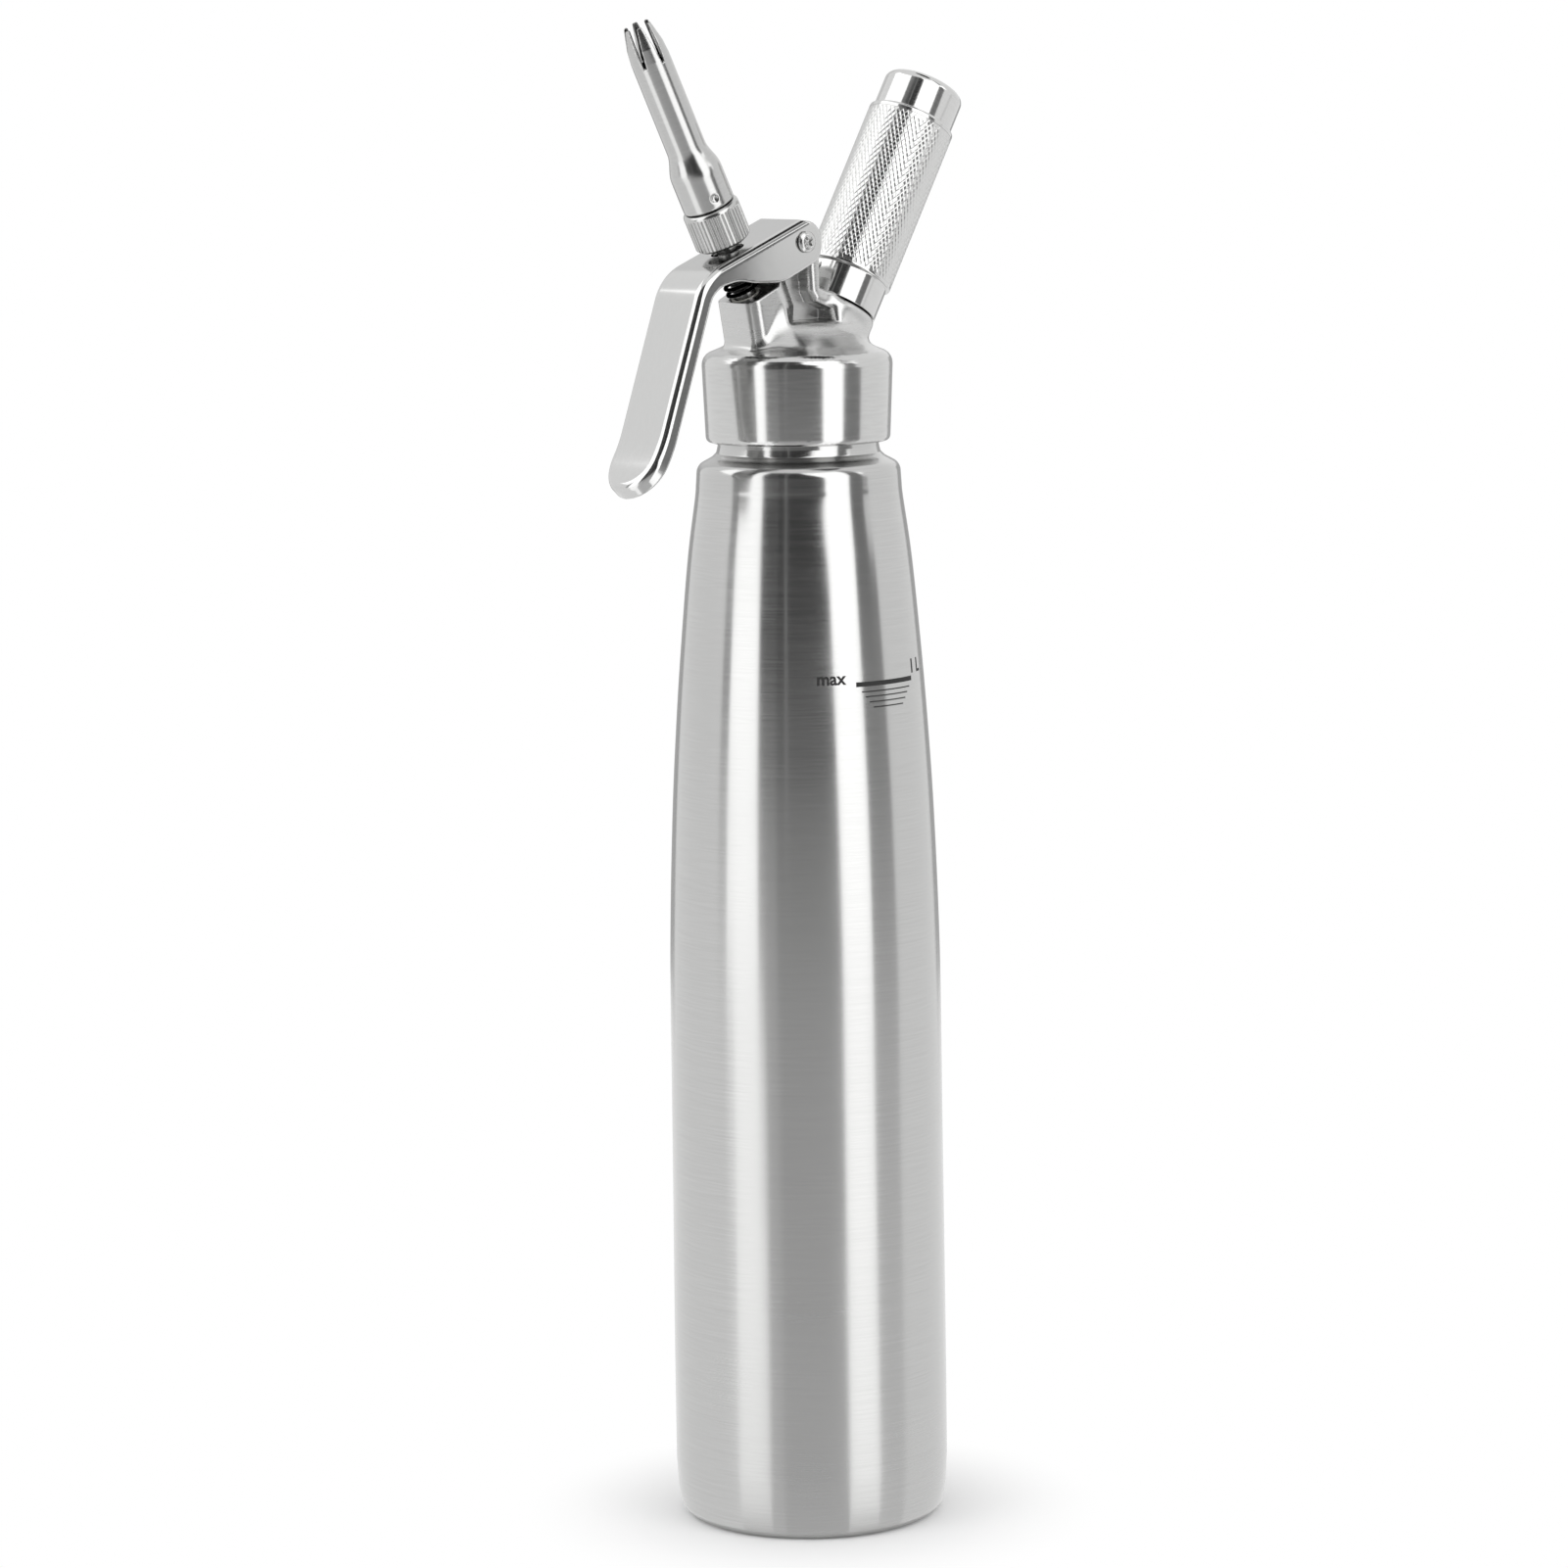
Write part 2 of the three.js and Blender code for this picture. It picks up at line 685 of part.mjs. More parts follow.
function leverShell() {
  const turnSteps = [0, 30, 60, 90];
  const outerLayers = turnSteps.map((step) => {
    const angle = degrees(step);
    const inset = leverEdgeRadius * (1 - Math.sin(angle));
    const depth = leverEdgeRadius * (1 - Math.cos(angle));
    return trayLayer(inset, depth, 2 * earRadius);
  });
  outerLayers.push(trayLayer(0, flangeDepth + leverSheet / 2, 2 * earRadius));
  const innerEdge = leverEdgeRadius - leverSheet;
  const innerLayers = turnSteps.map((step) => {
    const angle = degrees(step);
    const inset = leverSheet + innerEdge * (1 - Math.sin(angle));
    const depth = leverSheet + innerEdge * (1 - Math.cos(angle));
    return trayLayer(inset, depth, 2 * earRadius + overrun);
  });
  innerLayers.push(trayLayer(leverSheet, flangeDepth + leverSheet, 2 * earRadius + overrun));
  const backCut = webCut();
  const stemCut = onValve(rod(stemRadius + 2 * stemClearance, bossLevel + overrun, nozzleLevel, smallFacets));
  const pivotCut = rod(sleeveRadius + touch, -leverWidth, leverWidth, pinFacets)
    .rotate([90, 0, 0])
    .translate([pivotX, 0, pivotZ]);
  return tray(outerLayers)
    .subtract(tray(innerLayers))
    .intersect(plate(leverSide(), leverWidth))
    .subtract(backCut)
    .subtract(stemCut)
    .subtract(pivotCut);
}

// Behind the pivot the web ends and only the two ears go on
function webCut() {
  const at = (u, depth) => leverPoint(u, depth).toArray();
  const outline = [
    at(-webBack, -overrun),
    at(-4 * earRadius, -overrun),
    at(-4 * earRadius, leverSheet * 2),
    at(-webBack, leverSheet * 2),
  ];
  return plate(outline, leverWidth / 2 - leverSheet);
}

// Lever screw and the sleeve nut that it screws into

function leverScrew() {
  const face = leverWidth / 2 + touch;
  const dome = screwHeadHeight / 2;
  const profile = [
    [0, -leverWidth / 4],
    [screwShank, -leverWidth / 4],
    [screwShank, face],
    [screwHeadRadius, face],
    [screwHeadRadius, face + dome],
    [screwHeadRadius * 0.7, face + screwHeadHeight * 0.9],
    [0, face + screwHeadHeight],
  ];
  return revolve(profile, pinFacets).rotate([90, 0, 0]).translate([pivotX, 0, pivotZ]);
}

function leverSleeveNut() {
  const face = leverWidth / 2 + touch;
  const bore = screwShank + touch;
  const boreEnd = face - touch;
  const profile = [
    [0, boreEnd],
    [bore, boreEnd],
    [bore, touch - leverWidth / 2],
    [sleeveRadius, touch - leverWidth / 2],
    [sleeveRadius, face],
    [screwHeadRadius, face],
    [screwHeadRadius, face + sleeveHeadHeight],
    [0, face + sleeveHeadHeight],
  ];
  return revolve(profile, pinFacets).rotate([-90, 0, 0]).translate([pivotX, 0, pivotZ]);
}

// Valve stem: a hollow rod with a poppet below and cross holes above it
function valveStem() {
  const seal = seatLevel - touch - sealHeight - touch;
  const bottom = seal - poppetHeight;
  const top = adapterLevel + adapterLength - touch;
  const ringLevel = stemRingLevel();
  const clip = washerTop + touch;
  const groove = stemRadius - grooveDepth;
  const profile = [
    [0, bottom],
    [poppetRadius - touch, bottom],
    [poppetRadius, bottom + touch],
    [poppetRadius, seal],
    [stemRadius, seal],
    [stemRadius, ringLevel - ringSection - touch],
    [groove, ringLevel - ringSection - touch],
    [groove, ringLevel + ringSection + touch],
    [stemRadius, ringLevel + ringSection + touch],
    [stemRadius, clip - touch],
    [groove, clip - touch],
    [groove, clip + clipHeight + touch],
    [stemRadius, clip + clipHeight + touch],
    [stemRadius, top],
    [stemBore, top],
    [stemBore, seal],
    [0, seal],
  ];
  const cross = rod(stemHoleRadius, -sealRadius, sealRadius, pinFacets).rotate([90, 0, 0]);
  const level = seatLevel + stemHoleRadius + touch;
  return revolve(profile, smallFacets)
    .subtract(cross.translate([0, 0, level]))
    .subtract(cross.rotate([0, 0, 90]).translate([0, 0, level]));
}

function stemRingLevel() {
  return bossLevel - guideLength - 2 * ringSection - touch;
}

function roundRing(centre, section, level) {
  return ring(arc(centre, level, section, 0, 315, 7), smallFacets);
}

// Retaining clip: an open ring that snaps into the stem's groove
function retainingClip() {
  const inner = stemRadius - grooveDepth + touch;
  const bottom = washerTop + touch;
  const body = tube(inner, clipRadius, bottom, bottom + clipHeight, smallFacets);
  const mouthHalf = inner * 0.8;
  const opening = prism([
    [0, -mouthHalf],
    [clipRadius + overrun, -mouthHalf],
    [clipRadius + overrun, mouthHalf],
    [0, mouthHalf],
  ], bottom - overrun, bottom + clipHeight + overrun);
  return body.subtract(opening);
}

// Return spring: one unbroken tube wound round the stem
function springCurve() {
  const wire = springWire / 2;
  const rise = springTop - springBottom - springWire;
  class Coil extends THREE.Curve {
    getPoint(t, target = new THREE.Vector3()) {
      const angle = t * springTurns * 2 * Math.PI;
      const z = springBottom + wire + rise * t;
      return target.set(springRadius * Math.cos(angle), springRadius * Math.sin(angle), z);
    }
  }
  return new Coil();
}

function valveSpring() {
  const curve = springCurve();
  const stepsPerTurn = 8;
  const sides = 5;
  const steps = springTurns * stepsPerTurn;
  const wire = springWire / 2;
  const sections = [];
  for (let i = 0; i <= steps; i++) {
    const t = i / steps;
    const centre = curve.getPoint(t);
    const angle = t * springTurns * 2 * Math.PI;
    const outwards = new THREE.Vector3(Math.cos(angle), Math.sin(angle), 0);
    const up = new THREE.Vector3(0, 0, 1);
    sections.push(arc(0, 0, wire, 90, 90 + 360 - 360 / sides, sides - 1).map(([a, b]) => {
      return centre.clone().addScaledVector(outwards, a).addScaledVector(up, b).toArray();
    }));
  }
  reportSpringGap(sections, stepsPerTurn);
  return wound(sections);
}

// A tube through rings of points, closed by a fan at each end
function wound(sections) {
  const count = sections[0].length;
  const index = [];
  for (let k = 0; k + 1 < sections.length; k++) {
    for (let i = 0; i < count; i++) {
      const a = k * count + i;
      const b = k * count + ((i + 1) % count);
      index.push(a, b, a + count, b, b + count, a + count);
    }
  }
  const last = (sections.length - 1) * count;
  for (let i = 1; i + 1 < count; i++) {
    index.push(0, i + 1, i, last, last + i, last + i + 1);
  }
  const geometry = new THREE.BufferGeometry();
  geometry.setAttribute('position', new THREE.Float32BufferAttribute(sections.flat(2), 3));
  geometry.setIndex(index);
  return solid(geometry);
}

// The least gap between neighbouring turns, measured on the tube's own points
function reportSpringGap(sections, stepsPerTurn) {
  const far = stepsPerTurn / 2;
  let least = Infinity;
  for (let i = 0; i < sections.length; i++) {
    for (let j = i + far; j < sections.length; j++) {
      for (const p of sections[i]) {
        for (const q of sections[j]) {
          least = Math.min(least, Math.hypot(p[0] - q[0], p[1] - q[1], p[2] - q[2]));
        }
      }
    }
  }
  console.log(`valve_spring least gap to itself: ${least.toFixed(2)} mm`);
}

// Nozzle adapter: a fluted nut on the stem with a spigot that the nozzle screws on
function nozzleAdapter() {
  const outline = [];
  const perFlute = 4;
  for (let i = 0; i < adapterFlutes * perFlute; i++) {
    const angle = (i / (adapterFlutes * perFlute)) * 2 * Math.PI;
    const radius = i % perFlute === 0 ? adapterRadius - fluteDepth : adapterRadius;
    outline.push([radius * Math.cos(angle), radius * Math.sin(angle)]);
  }
  const top = adapterLevel + adapterLength;
  const body = prism(outline, adapterLevel, top).intersect(revolve([
    [0, adapterLevel],
    [adapterRadius - adapterChamfer, adapterLevel],
    [adapterRadius + touch, adapterLevel + adapterChamfer + touch],
    [adapterRadius + touch, top - adapterChamfer - touch],
    [adapterRadius - adapterChamfer, top],
    [0, top],
  ], headFacets));
  const spigot = rod(spigotRadius, top - overrun, top + spigotLength, smallFacets);
  const hole = rod(stemRadius + touch, adapterLevel - overrun, top, smallFacets);
  const way = rod(stemBore, top - overrun, top + spigotLength + overrun, smallFacets);
  return body.add(spigot).subtract(hole).subtract(way);
}

function nozzleGasketLevel() {
  return adapterLevel + adapterLength + spigotLength + touch;
}

// Nozzle: a slim tube on a wider foot, with slots that shape the cream
function nozzleShell() {
  const bottom = nozzleLevel;
  const top = bottom + nozzleLength;
  const foot = bottom + nozzleBaseLength;
  const shaft = foot + nozzleFlare;
  const tip = top - nozzleTipLength;
  const socket = spigotRadius + touch;
  const socketTop = nozzleGasketLevel() + nozzleGasketHeight + touch;
  const flare = nozzleFlareLine(foot, shaft);
  const profile = [
    [socket, bottom],
    [nozzleBaseRadius - touch, bottom],
    [nozzleBaseRadius, bottom + touch],
    ...flare,
    [nozzleRadius, tip],
    [nozzleTipRadius + (nozzleRadius - nozzleTipRadius) * 0.8, tip + nozzleTipLength * 0.4],
    [nozzleTipRadius, top],
    [nozzleTipRadius - nozzleWall, top],
    [nozzleRadius - nozzleWall, tip],
    [nozzleRadius - nozzleWall, socketTop],
    [socket, socketTop],
  ];
  const body = ring(profile, smallFacets);
  return slots(body, top);
}

// The foot runs into the shaft in one even double curve
function nozzleFlareLine(foot, shaft) {
  const steps = 6;
  const points = [];
  for (let i = 0; i <= steps; i++) {
    const share = (1 + Math.cos((i / steps) * Math.PI)) / 2;
    points.push([nozzleRadius + (nozzleBaseRadius - nozzleRadius) * share, foot + ((shaft - foot) * i) / steps]);
  }
  return points;
}

// Slots that widen towards the tip
function slots(body, top) {
  const half = slotWidth / 2;
  let cut = body;
  for (let i = 0; i < nozzleSlots; i++) {
    const slot = loft([slotSection(slotEnd / 2, top - slotDepth), slotSection(half, top + touch)]);
    cut = cut.subtract(slot.rotate([0, 0, (360 * (i + 0.5)) / nozzleSlots]));
  }
  return cut;
}

function slotSection(half, z) {
  const reach = nozzleRadius + overrun;
  return [[0, -half, z], [reach, -half, z], [reach, half, z], [0, half, z]];
}

// Charger holder: a closed sleeve with a collar below, a gripped middle and a cap
function holderLevels() {
  const bottom = portLevel + touch;
  const knurl = bottom + holderCollarLength;
  const top = chargerTip() + chargerLength + touch + holderTopWall;
  const cap = top - holderCapLength;
  return { bottom, knurl, cap, top };
}

function chargerHolder() {
  const { bottom, knurl, cap, top } = holderLevels();
  const threadTop = portLevel + stubHeight + touch;
  const thread = stubRadius + threadGap;
  const bore = chargerRadius + touch;
  const ceiling = top - holderTopWall;
  const dome = chargerRadius / 4;
  const profile = [
    [0, ceiling],
    [bore - dome, ceiling],
    [bore, ceiling - dome],
    [bore, threadTop + touch],
    [thread, threadTop],
    [thread, bottom],
    [holderCollarRadius - touch, bottom],
    [holderCollarRadius, bottom + touch],
    [holderCollarRadius, knurl],
    [holderRadius - touch, knurl],
    [holderRadius, knurl + touch],
    [holderRadius, cap - touch],
    [holderRadius - touch, cap],
    [holderCapRadius, cap],
    ...arc(holderCapRadius - holderCapCorner, top - holderCapCorner, holderCapCorner, 0, 90, 4),
    [0, top],
  ];
  return revolve(profile, headFacets);
}

// Charger: a steel bulb with a neck that points to the piercing pin
function chargerBulb() {
  const tip = chargerTip();
  const tail = tip + chargerLength;
  const neckTop = tip + chargerNeckLength;
  const body = neckTop + chargerShoulder;
  const round = chargerRadius * 0.5;
  const outer = [
    [chargerPierce, tip],
    [chargerNeckRadius - touch, tip],
    [chargerNeckRadius, tip + touch],
    [chargerNeckRadius, neckTop],
    [chargerNeckRadius + (chargerRadius - chargerNeckRadius) * 0.35, neckTop + chargerShoulder * 0.35],
    [chargerRadius * 0.93, body - chargerShoulder * 0.18],
    [chargerRadius, body + chargerShoulder * 0.2],
    ...arc(chargerRadius - round, tail - round, round, 0, 75, 4),
    [0, tail],
  ];
  const inner = [
    [0, tail - chargerWall],
    ...arc(chargerRadius - round, tail - round, round - chargerWall, 75, 0, 3),
    [chargerRadius - chargerWall, body],
    [chargerNeckRadius - chargerWall, neckTop],
    [chargerNeckRadius - chargerWall, tip + chargerWall],
    [chargerPierce, tip + chargerWall],
  ];
  return revolve([...inner, ...outer], smallFacets);
}

function chargerTip() {
  return piercerLevels().sealTop + touch;
}

// Piercing valve: an insert under the charger that carries the pin and the check sleeve
function piercerLevels() {
  const flangeBottom = portLevel - socketDepth + touch;
  const flangeTop = flangeBottom + piercerFlangeHeight;
  const sealBottom = flangeTop + touch;
  const sealTop = sealBottom + chargerSealHeight;
  return { sealTop, sealBottom, flangeTop, flangeBottom, bottom: flangeBottom - piercerLength };
}

function piercingValve() {
  const { flangeTop, flangeBottom, bottom } = piercerLevels();
  const groove = piercerRadius - sleeveWall - touch;
  const sleeve = bottom + overrun / 2;
  const profile = [
    [piercerBore, bottom],
    [piercerRadius, bottom],
    [piercerRadius, sleeve],
    [groove, sleeve],
    [groove, sleeve + sleeveLength + 2 * touch],
    [piercerRadius, sleeve + sleeveLength + 2 * touch],
    [piercerRadius, flangeBottom],
    [piercerFlangeRadius, flangeBottom],
    [piercerFlangeRadius, flangeTop],
    [piercerBore, flangeTop],
  ];
  return ring(profile, smallFacets);
}

function checkSleeve() {
  const { bottom } = piercerLevels();
  const start = bottom + overrun / 2 + touch;
  const inner = piercerRadius - sleeveWall;
  return tube(inner, inner + sleeveWall, start, start + sleeveLength, smallFacets);
}

function piercingPin() {
  const { flangeTop } = piercerLevels();
  const tip = chargerTip() + pinReach;
  const profile = [
    [0, flangeTop - pinDepth],
    [pinRadius, flangeTop - pinDepth],
    [pinRadius, tip - 2 * pinRadius],
    [pinRadius / 4, tip],
    [0, tip],
  ];
  return revolve(profile, pinFacets);
}

// Assembly

function valveGroup() {
  const group = new THREE.Group();
  group.position.set(0, 0, valveFocus);
  group.rotation.y = -degrees(valveLean);
  const groove = stemRadius - grooveDepth;
  const sealBottom = seatLevel - touch - sealHeight;
  group.add(
    named('valve_stem', valveStem(), steel),
    named('valve_seal', tube(stemRadius + touch, sealRadius, sealBottom, seatLevel - touch, smallFacets), rubber),
    named('stem_o_ring', roundRing(groove + touch + ringSection, ringSection, stemRingLevel()), rubber),
    named('stem_guide', tube(stemRadius + touch, guideHole - touch, bossLevel - guideLength + touch, bossLevel,
      smallFacets), nylon),
    named('valve_spring', valveSpring(), steel),
    named('spring_washer', tube(stemRadius + touch, washerRadius, washerTop - washerHeight, washerTop,
      smallFacets), steel),
    named('retaining_clip', retainingClip(), steel),
    named('nozzle_adapter', nozzleAdapter(), steel),
    named('nozzle_gasket', tube(stemBore, spigotRadius, nozzleGasketLevel(),
      nozzleGasketLevel() + nozzleGasketHeight, smallFacets), rubber),
    named('nozzle', nozzleShell(), steel),
  );
  return group;
}

function chargerGroup() {
  const group = new THREE.Group();
  group.position.set(0, 0, chargerFocus);
  group.rotation.y = degrees(chargerLean);
  const { sealTop, sealBottom } = piercerLevels();
  group.add(
    named('charger_holder', chargerHolder(), steel),
    named('charger', chargerBulb(), brushed),
    named('piercing_valve', piercingValve(), brass),
    named('check_valve_sleeve', checkSleeve(), rubber),
    named('piercing_pin', piercingPin(), steel),
    named('charger_seal', tube(pinRadius + touch, piercerFlangeRadius, sealBottom, sealTop, smallFacets), rubber),
  );
  return group;
}

const dispenser = new THREE.Group();
dispenser.add(
  named('bottle_shell', bottleShell(), brushed),
  named('head_casting', headCasting(), steel),
  named('head_gasket', tube(gasketInner, headBore - touch, mouth + touch, gasketSeat - touch, headFacets),
    silicone),
  named('lever', leverShell(), steel),
  named('lever_screw', leverScrew(), steel),
  named('lever_sleeve_nut', leverSleeveNut(), steel),
  valveGroup(),
  chargerGroup(),
);

export default dispenser;
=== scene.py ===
from math import acos, ceil, copysign, cos, pi, radians as rad, sin, tan

import bpy
import numpy as np
from numpy import array, hypot, maximum, minimum
from numpy.linalg import norm
from mathutils import Matrix, Vector

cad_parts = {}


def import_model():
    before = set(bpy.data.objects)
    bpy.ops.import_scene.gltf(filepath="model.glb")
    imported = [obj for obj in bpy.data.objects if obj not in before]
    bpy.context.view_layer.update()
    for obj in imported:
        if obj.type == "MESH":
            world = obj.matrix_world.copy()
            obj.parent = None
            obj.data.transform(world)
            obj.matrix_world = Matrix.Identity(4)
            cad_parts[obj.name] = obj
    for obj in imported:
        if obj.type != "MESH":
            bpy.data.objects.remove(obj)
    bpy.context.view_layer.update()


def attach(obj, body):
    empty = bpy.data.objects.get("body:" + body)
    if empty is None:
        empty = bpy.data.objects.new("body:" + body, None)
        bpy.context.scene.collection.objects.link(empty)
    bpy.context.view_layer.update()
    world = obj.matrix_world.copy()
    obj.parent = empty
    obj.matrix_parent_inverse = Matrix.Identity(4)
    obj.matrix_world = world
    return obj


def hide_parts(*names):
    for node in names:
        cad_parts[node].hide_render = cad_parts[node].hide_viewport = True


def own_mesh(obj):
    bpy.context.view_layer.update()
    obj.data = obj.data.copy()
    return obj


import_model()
COARSER = 1

# Lengths are millimetres until a mesh is made, which is in metres.
MM = 0.001
TOUCH = 0.3

# Bottle
BOTTLE_R = 38.8
SHOULDER_Z = 299.4
SHOULDER_R = 28.6
SHOULDER_CORNER, SHOULDER_TURN = 3.4, 62
PANEL_R, FOOT_R, FOOT_CORNER = 33.0, 37.8, 4.4
BASE_RISE = 16.0
NECK_R, NECK_WALL = 22.6, 1.2
NECK_BASE = 304.2
MOUTH = 325.0
SIDE = [(1, 0.16), (0.992, 0.37), (0.986, 0.535), (0.954, 0.669), (0.909, 0.769),
        (0.857, 0.853), (0.807, 0.92), (0.752, 0.972), (0.743, 0.985)]

# Head
SKIRT_BOTTOM, SKIRT_TOP = 306.8, 328.4
SKIRT_R, SKIRT_DRAFT = 26.7, 0.9
DOME_CORNER, DOME_RISE = 4.0, 7.4
HEAD_BORE, GASKET_SEAT, GASKET_INNER, ROOF = 23.0, 327.6, 19.8, 331.0
LUG_HALF, LUG_RIM, FRONT_ROUND = 8.6, 0.9, 3.4
VALVE_LINE, CHARGER_LINE = (-26.0, 311.1), (29.2, 318.5)  # lean from upright, height on the axis
BOSS, SEAT = 41.4, 26.0
STEM_HOLE, GUIDE_HOLE, GUIDE_DEPTH, SEAT_HOLE = 3.6, 4.4, 5, 6
PORT, PORT_FLAT, PORT_CORNER, PORT_ROUND = 29.0, 11.5, 12.3, 2.4
PORT_HOLE, PORT_SEAT_HOLE = 3.8, 5.2
STUB_R, STUB_H, SOCKET = 9.9, 8.5, 3.5
PIVOT_X, PIVOT_Z, LUG_R, PIN_HOLE = -4.8, 362.6, 4.1, 2.3

# Lever
LEVER_W, SHEET, EDGE_R = 20.8, 1.5, 2.2
LEVER_TOP, WEB_LEAN, WEB_LEN, WEB_BACK = 5.9, 22.4, 36.2, 2.2
BEND_R, TONGUE_LEAN, TONGUE_LEN, TONGUE_FLANGE = 15.0, 18.9, 62.0, 4.8
LIP_LEN, LIP_R = 18.0, 40.0
FLANGE, EAR_R = 12.6, 6.0
LEVER_HOLE, LEVER_HOLE_LOW = 4.7, 42

# Valve group
STEM_R, STEM_BORE, POPPET_R = 3.0, 1.6, 4.4
SPRING_R, SPRING_WIRE, SPRING_TURNS = 4.5, 1.1, 4
ADAPTER_R, ADAPTER_LEN, FLUTES, FLUTE_DEPTH = 8.0, 11.4, 40, 0.42
NOZZLE_LEN, NOZZLE_R, NOZZLE_BASE_R, NOZZLE_BASE_LEN, NOZZLE_FLARE = 54.4, 5.5, 7.3, 9.6, 8.0
NOZZLE_WALL, NOZZLE_TIP_R, NOZZLE_TIP_LEN = 1.1, 3.9, 10.0
SLOTS, SLOT_W, SLOT_END, SLOT_DEPTH = 6, 2.4, 0.8, 11.0
DIMPLE_TURN, DIMPLE_LEVEL, DIMPLE_OUT, DIMPLE_R = 252, 72.5, 0.75, 1.45
SPIGOT_R, SPIGOT_LEN = 4.6, 8.0

# Holder group
COLLAR_R, COLLAR_LEN = 11.6, 9.2
HOLDER_R, KNURL_LEN = 12.5, 49.1
KNURL_COUNT, KNURL_PITCH, KNURL_DEPTH, KNURL_TOP = 57, 2.35, 0.055, 0.56
CAP_R, CAP_LEN, CAP_CORNER = 11.5, 11.2, 2.4
TOP_WALL = 2.6
CHARGER_R, CHARGER_LEN = 9.3, 65.5


# Geometry helpers

def spaced(start, end, steps):
    return [start + (end - start) * i / steps for i in range(steps + 1)]


def arc(x, z, r, turns):
    return [(x + r * cos(rad(a)), z + r * sin(rad(a))) for a in turns]


def rounded(points, radius=0.2, steps=4, closed=False):
    """A polyline with its corners rounded; a point may carry its own radius as a third number."""
    n, out = len(points), []
    for i, p in enumerate(points):
        r = p[2] if len(p) > 2 else radius
        here, a, b = [array(q[:2], float) for q in (p, points[i - 1], points[(i + 1) % n])]
        la, lb = norm(a - here), norm(b - here)
        ua, ub = (a - here) / la, (b - here) / lb
        turn = pi - acos(np.clip(ua @ ub, -1, 1))
        if (not closed and i in (0, n - 1)) or r <= 0 or turn < rad(12):
            out.append(here)
            continue
        reach = min(r * tan(turn / 2), 0.45 * la, 0.45 * lb)
        r = reach / tan(turn / 2)
        middle = here + (ua + ub) / norm(ua + ub) * r / cos(turn / 2)
        start, end = here + ua * reach - middle, here + ub * reach - middle
        for t in spaced(0, 1, steps):
            out.append(middle + (start * sin((1 - t) * turn) + end * sin(t * turn)) / sin(turn))
    return out


def catmull(knots, per):
    """Points on a smooth curve through knots."""
    k = array(knots, float)
    k = np.vstack([2 * k[0] - k[1], k, 2 * k[-1] - k[-2]])
    out = []
    for p0, p1, p2, p3 in zip(k, k[1:], k[2:], k[3:]):
        for t in np.arange(per) / per:
            out.append(0.5 * (2 * p1 + (p2 - p0) * t + (2 * p0 - 5 * p1 + 4 * p2 - p3) * t ** 2
                              + (3 * p1 - p0 - 3 * p2 + p3) * t ** 3))
    return out + [k[-2]]


def lathe(profile, steps, closed=False):
    """Vertices, faces and normals of a profile turned about Z."""
    pts = array(profile, float)
    n = len(pts)
    pairs = [(i, (i + 1) % n) for i in range(n if closed else n - 1)]
    side = np.zeros((n, 2))
    for a, b in pairs:
        d = pts[b] - pts[a]
        side[[a, b]] += (d[1], -d[0])
    angles = np.linspace(0, 2 * pi, steps, endpoint=False)
    x, y = np.cos(angles), np.sin(angles)
    verts, norms, rings, faces = [], [], [], []
    for (r, z), (out, up) in zip(pts, side):
        first = len(verts)
        if r < 1e-6:
            verts.append((0, 0, z))
            norms.append((0, 0, copysign(1, up)))
            rings.append([first] * steps)
            continue
        verts.extend(zip(r * x, r * y, np.full(steps, z)))
        norms.extend(zip(out * x, out * y, np.full(steps, up)))
        rings.append(range(first, first + steps))
    for a, b in pairs:
        for j in range(steps):
            k = (j + 1) % steps
            face = tuple(dict.fromkeys((rings[a][j], rings[a][k], rings[b][k], rings[b][j])))
            if len(face) > 2:
                faces.append(face)
    return turn_out(array(verts, float), faces, array(norms, float))


def turn_out(verts, faces, norms=None):
    """Faces and normals flipped where the volume comes out negative."""
    volume = sum(verts[f[0]] @ np.cross(verts[f[i]], verts[f[i + 1]])
                 for f in faces for i in range(1, len(f) - 1))
    if volume < 0:
        return verts, [f[::-1] for f in faces], None if norms is None else -norms
    return verts, faces, norms


def tube_faces(steps, sides):
    """Quads between rings of points along a tube, and its two ends."""
    faces = [(a + j, a + (j + 1) % sides, a + sides + (j + 1) % sides, a + sides + j)
             for a in range(0, steps * sides, sides) for j in range(sides)]
    return faces + [tuple(reversed(range(sides))), tuple(steps * sides + j for j in range(sides))]


def polygon(px, pz, pts):
    """Signed distance to a closed polygon, below zero inside."""
    p = array(pts, float)
    d = np.full(px.shape, np.inf)
    sign = np.ones(px.shape)
    for i in range(len(p)):
        a, b = p[i], p[i - 1]
        ex, ez = b - a
        wx, wz = px - a[0], pz - a[1]
        t = np.clip((wx * ex + wz * ez) / (ex * ex + ez * ez), 0, 1)
        d = minimum(d, (wx - ex * t) ** 2 + (wz - ez * t) ** 2)
        c1, c2, c3 = pz >= a[1], pz < b[1], ex * wz > ez * wx
        sign = np.where((c1 == c2) & (c2 == c3), -sign, sign)
    return sign * np.sqrt(d)


def smin(a, b, k):
    h = maximum(k - np.abs(a - b), 0) / k
    return minimum(a, b) - h * h * k * 0.25


def smax(a, b, k):
    return -smin(-a, -b, k)


def corner(a, b, r):
    """Where both distances are below zero, with the edge between them rounded."""
    a, b = a + r, b + r
    return hypot(maximum(a, 0), maximum(b, 0)) + minimum(maximum(a, b), 0) - r


def smooth_step(x, a, b):
    t = np.clip((x - a) / (b - a), 0, 1)
    return t * t * (3 - 2 * t)


def line_point(line, level, across):
    lean, focus = rad(line[0]), line[1]
    c, s = cos(lean), sin(lean)
    return across * c + level * s, focus + level * c - across * s


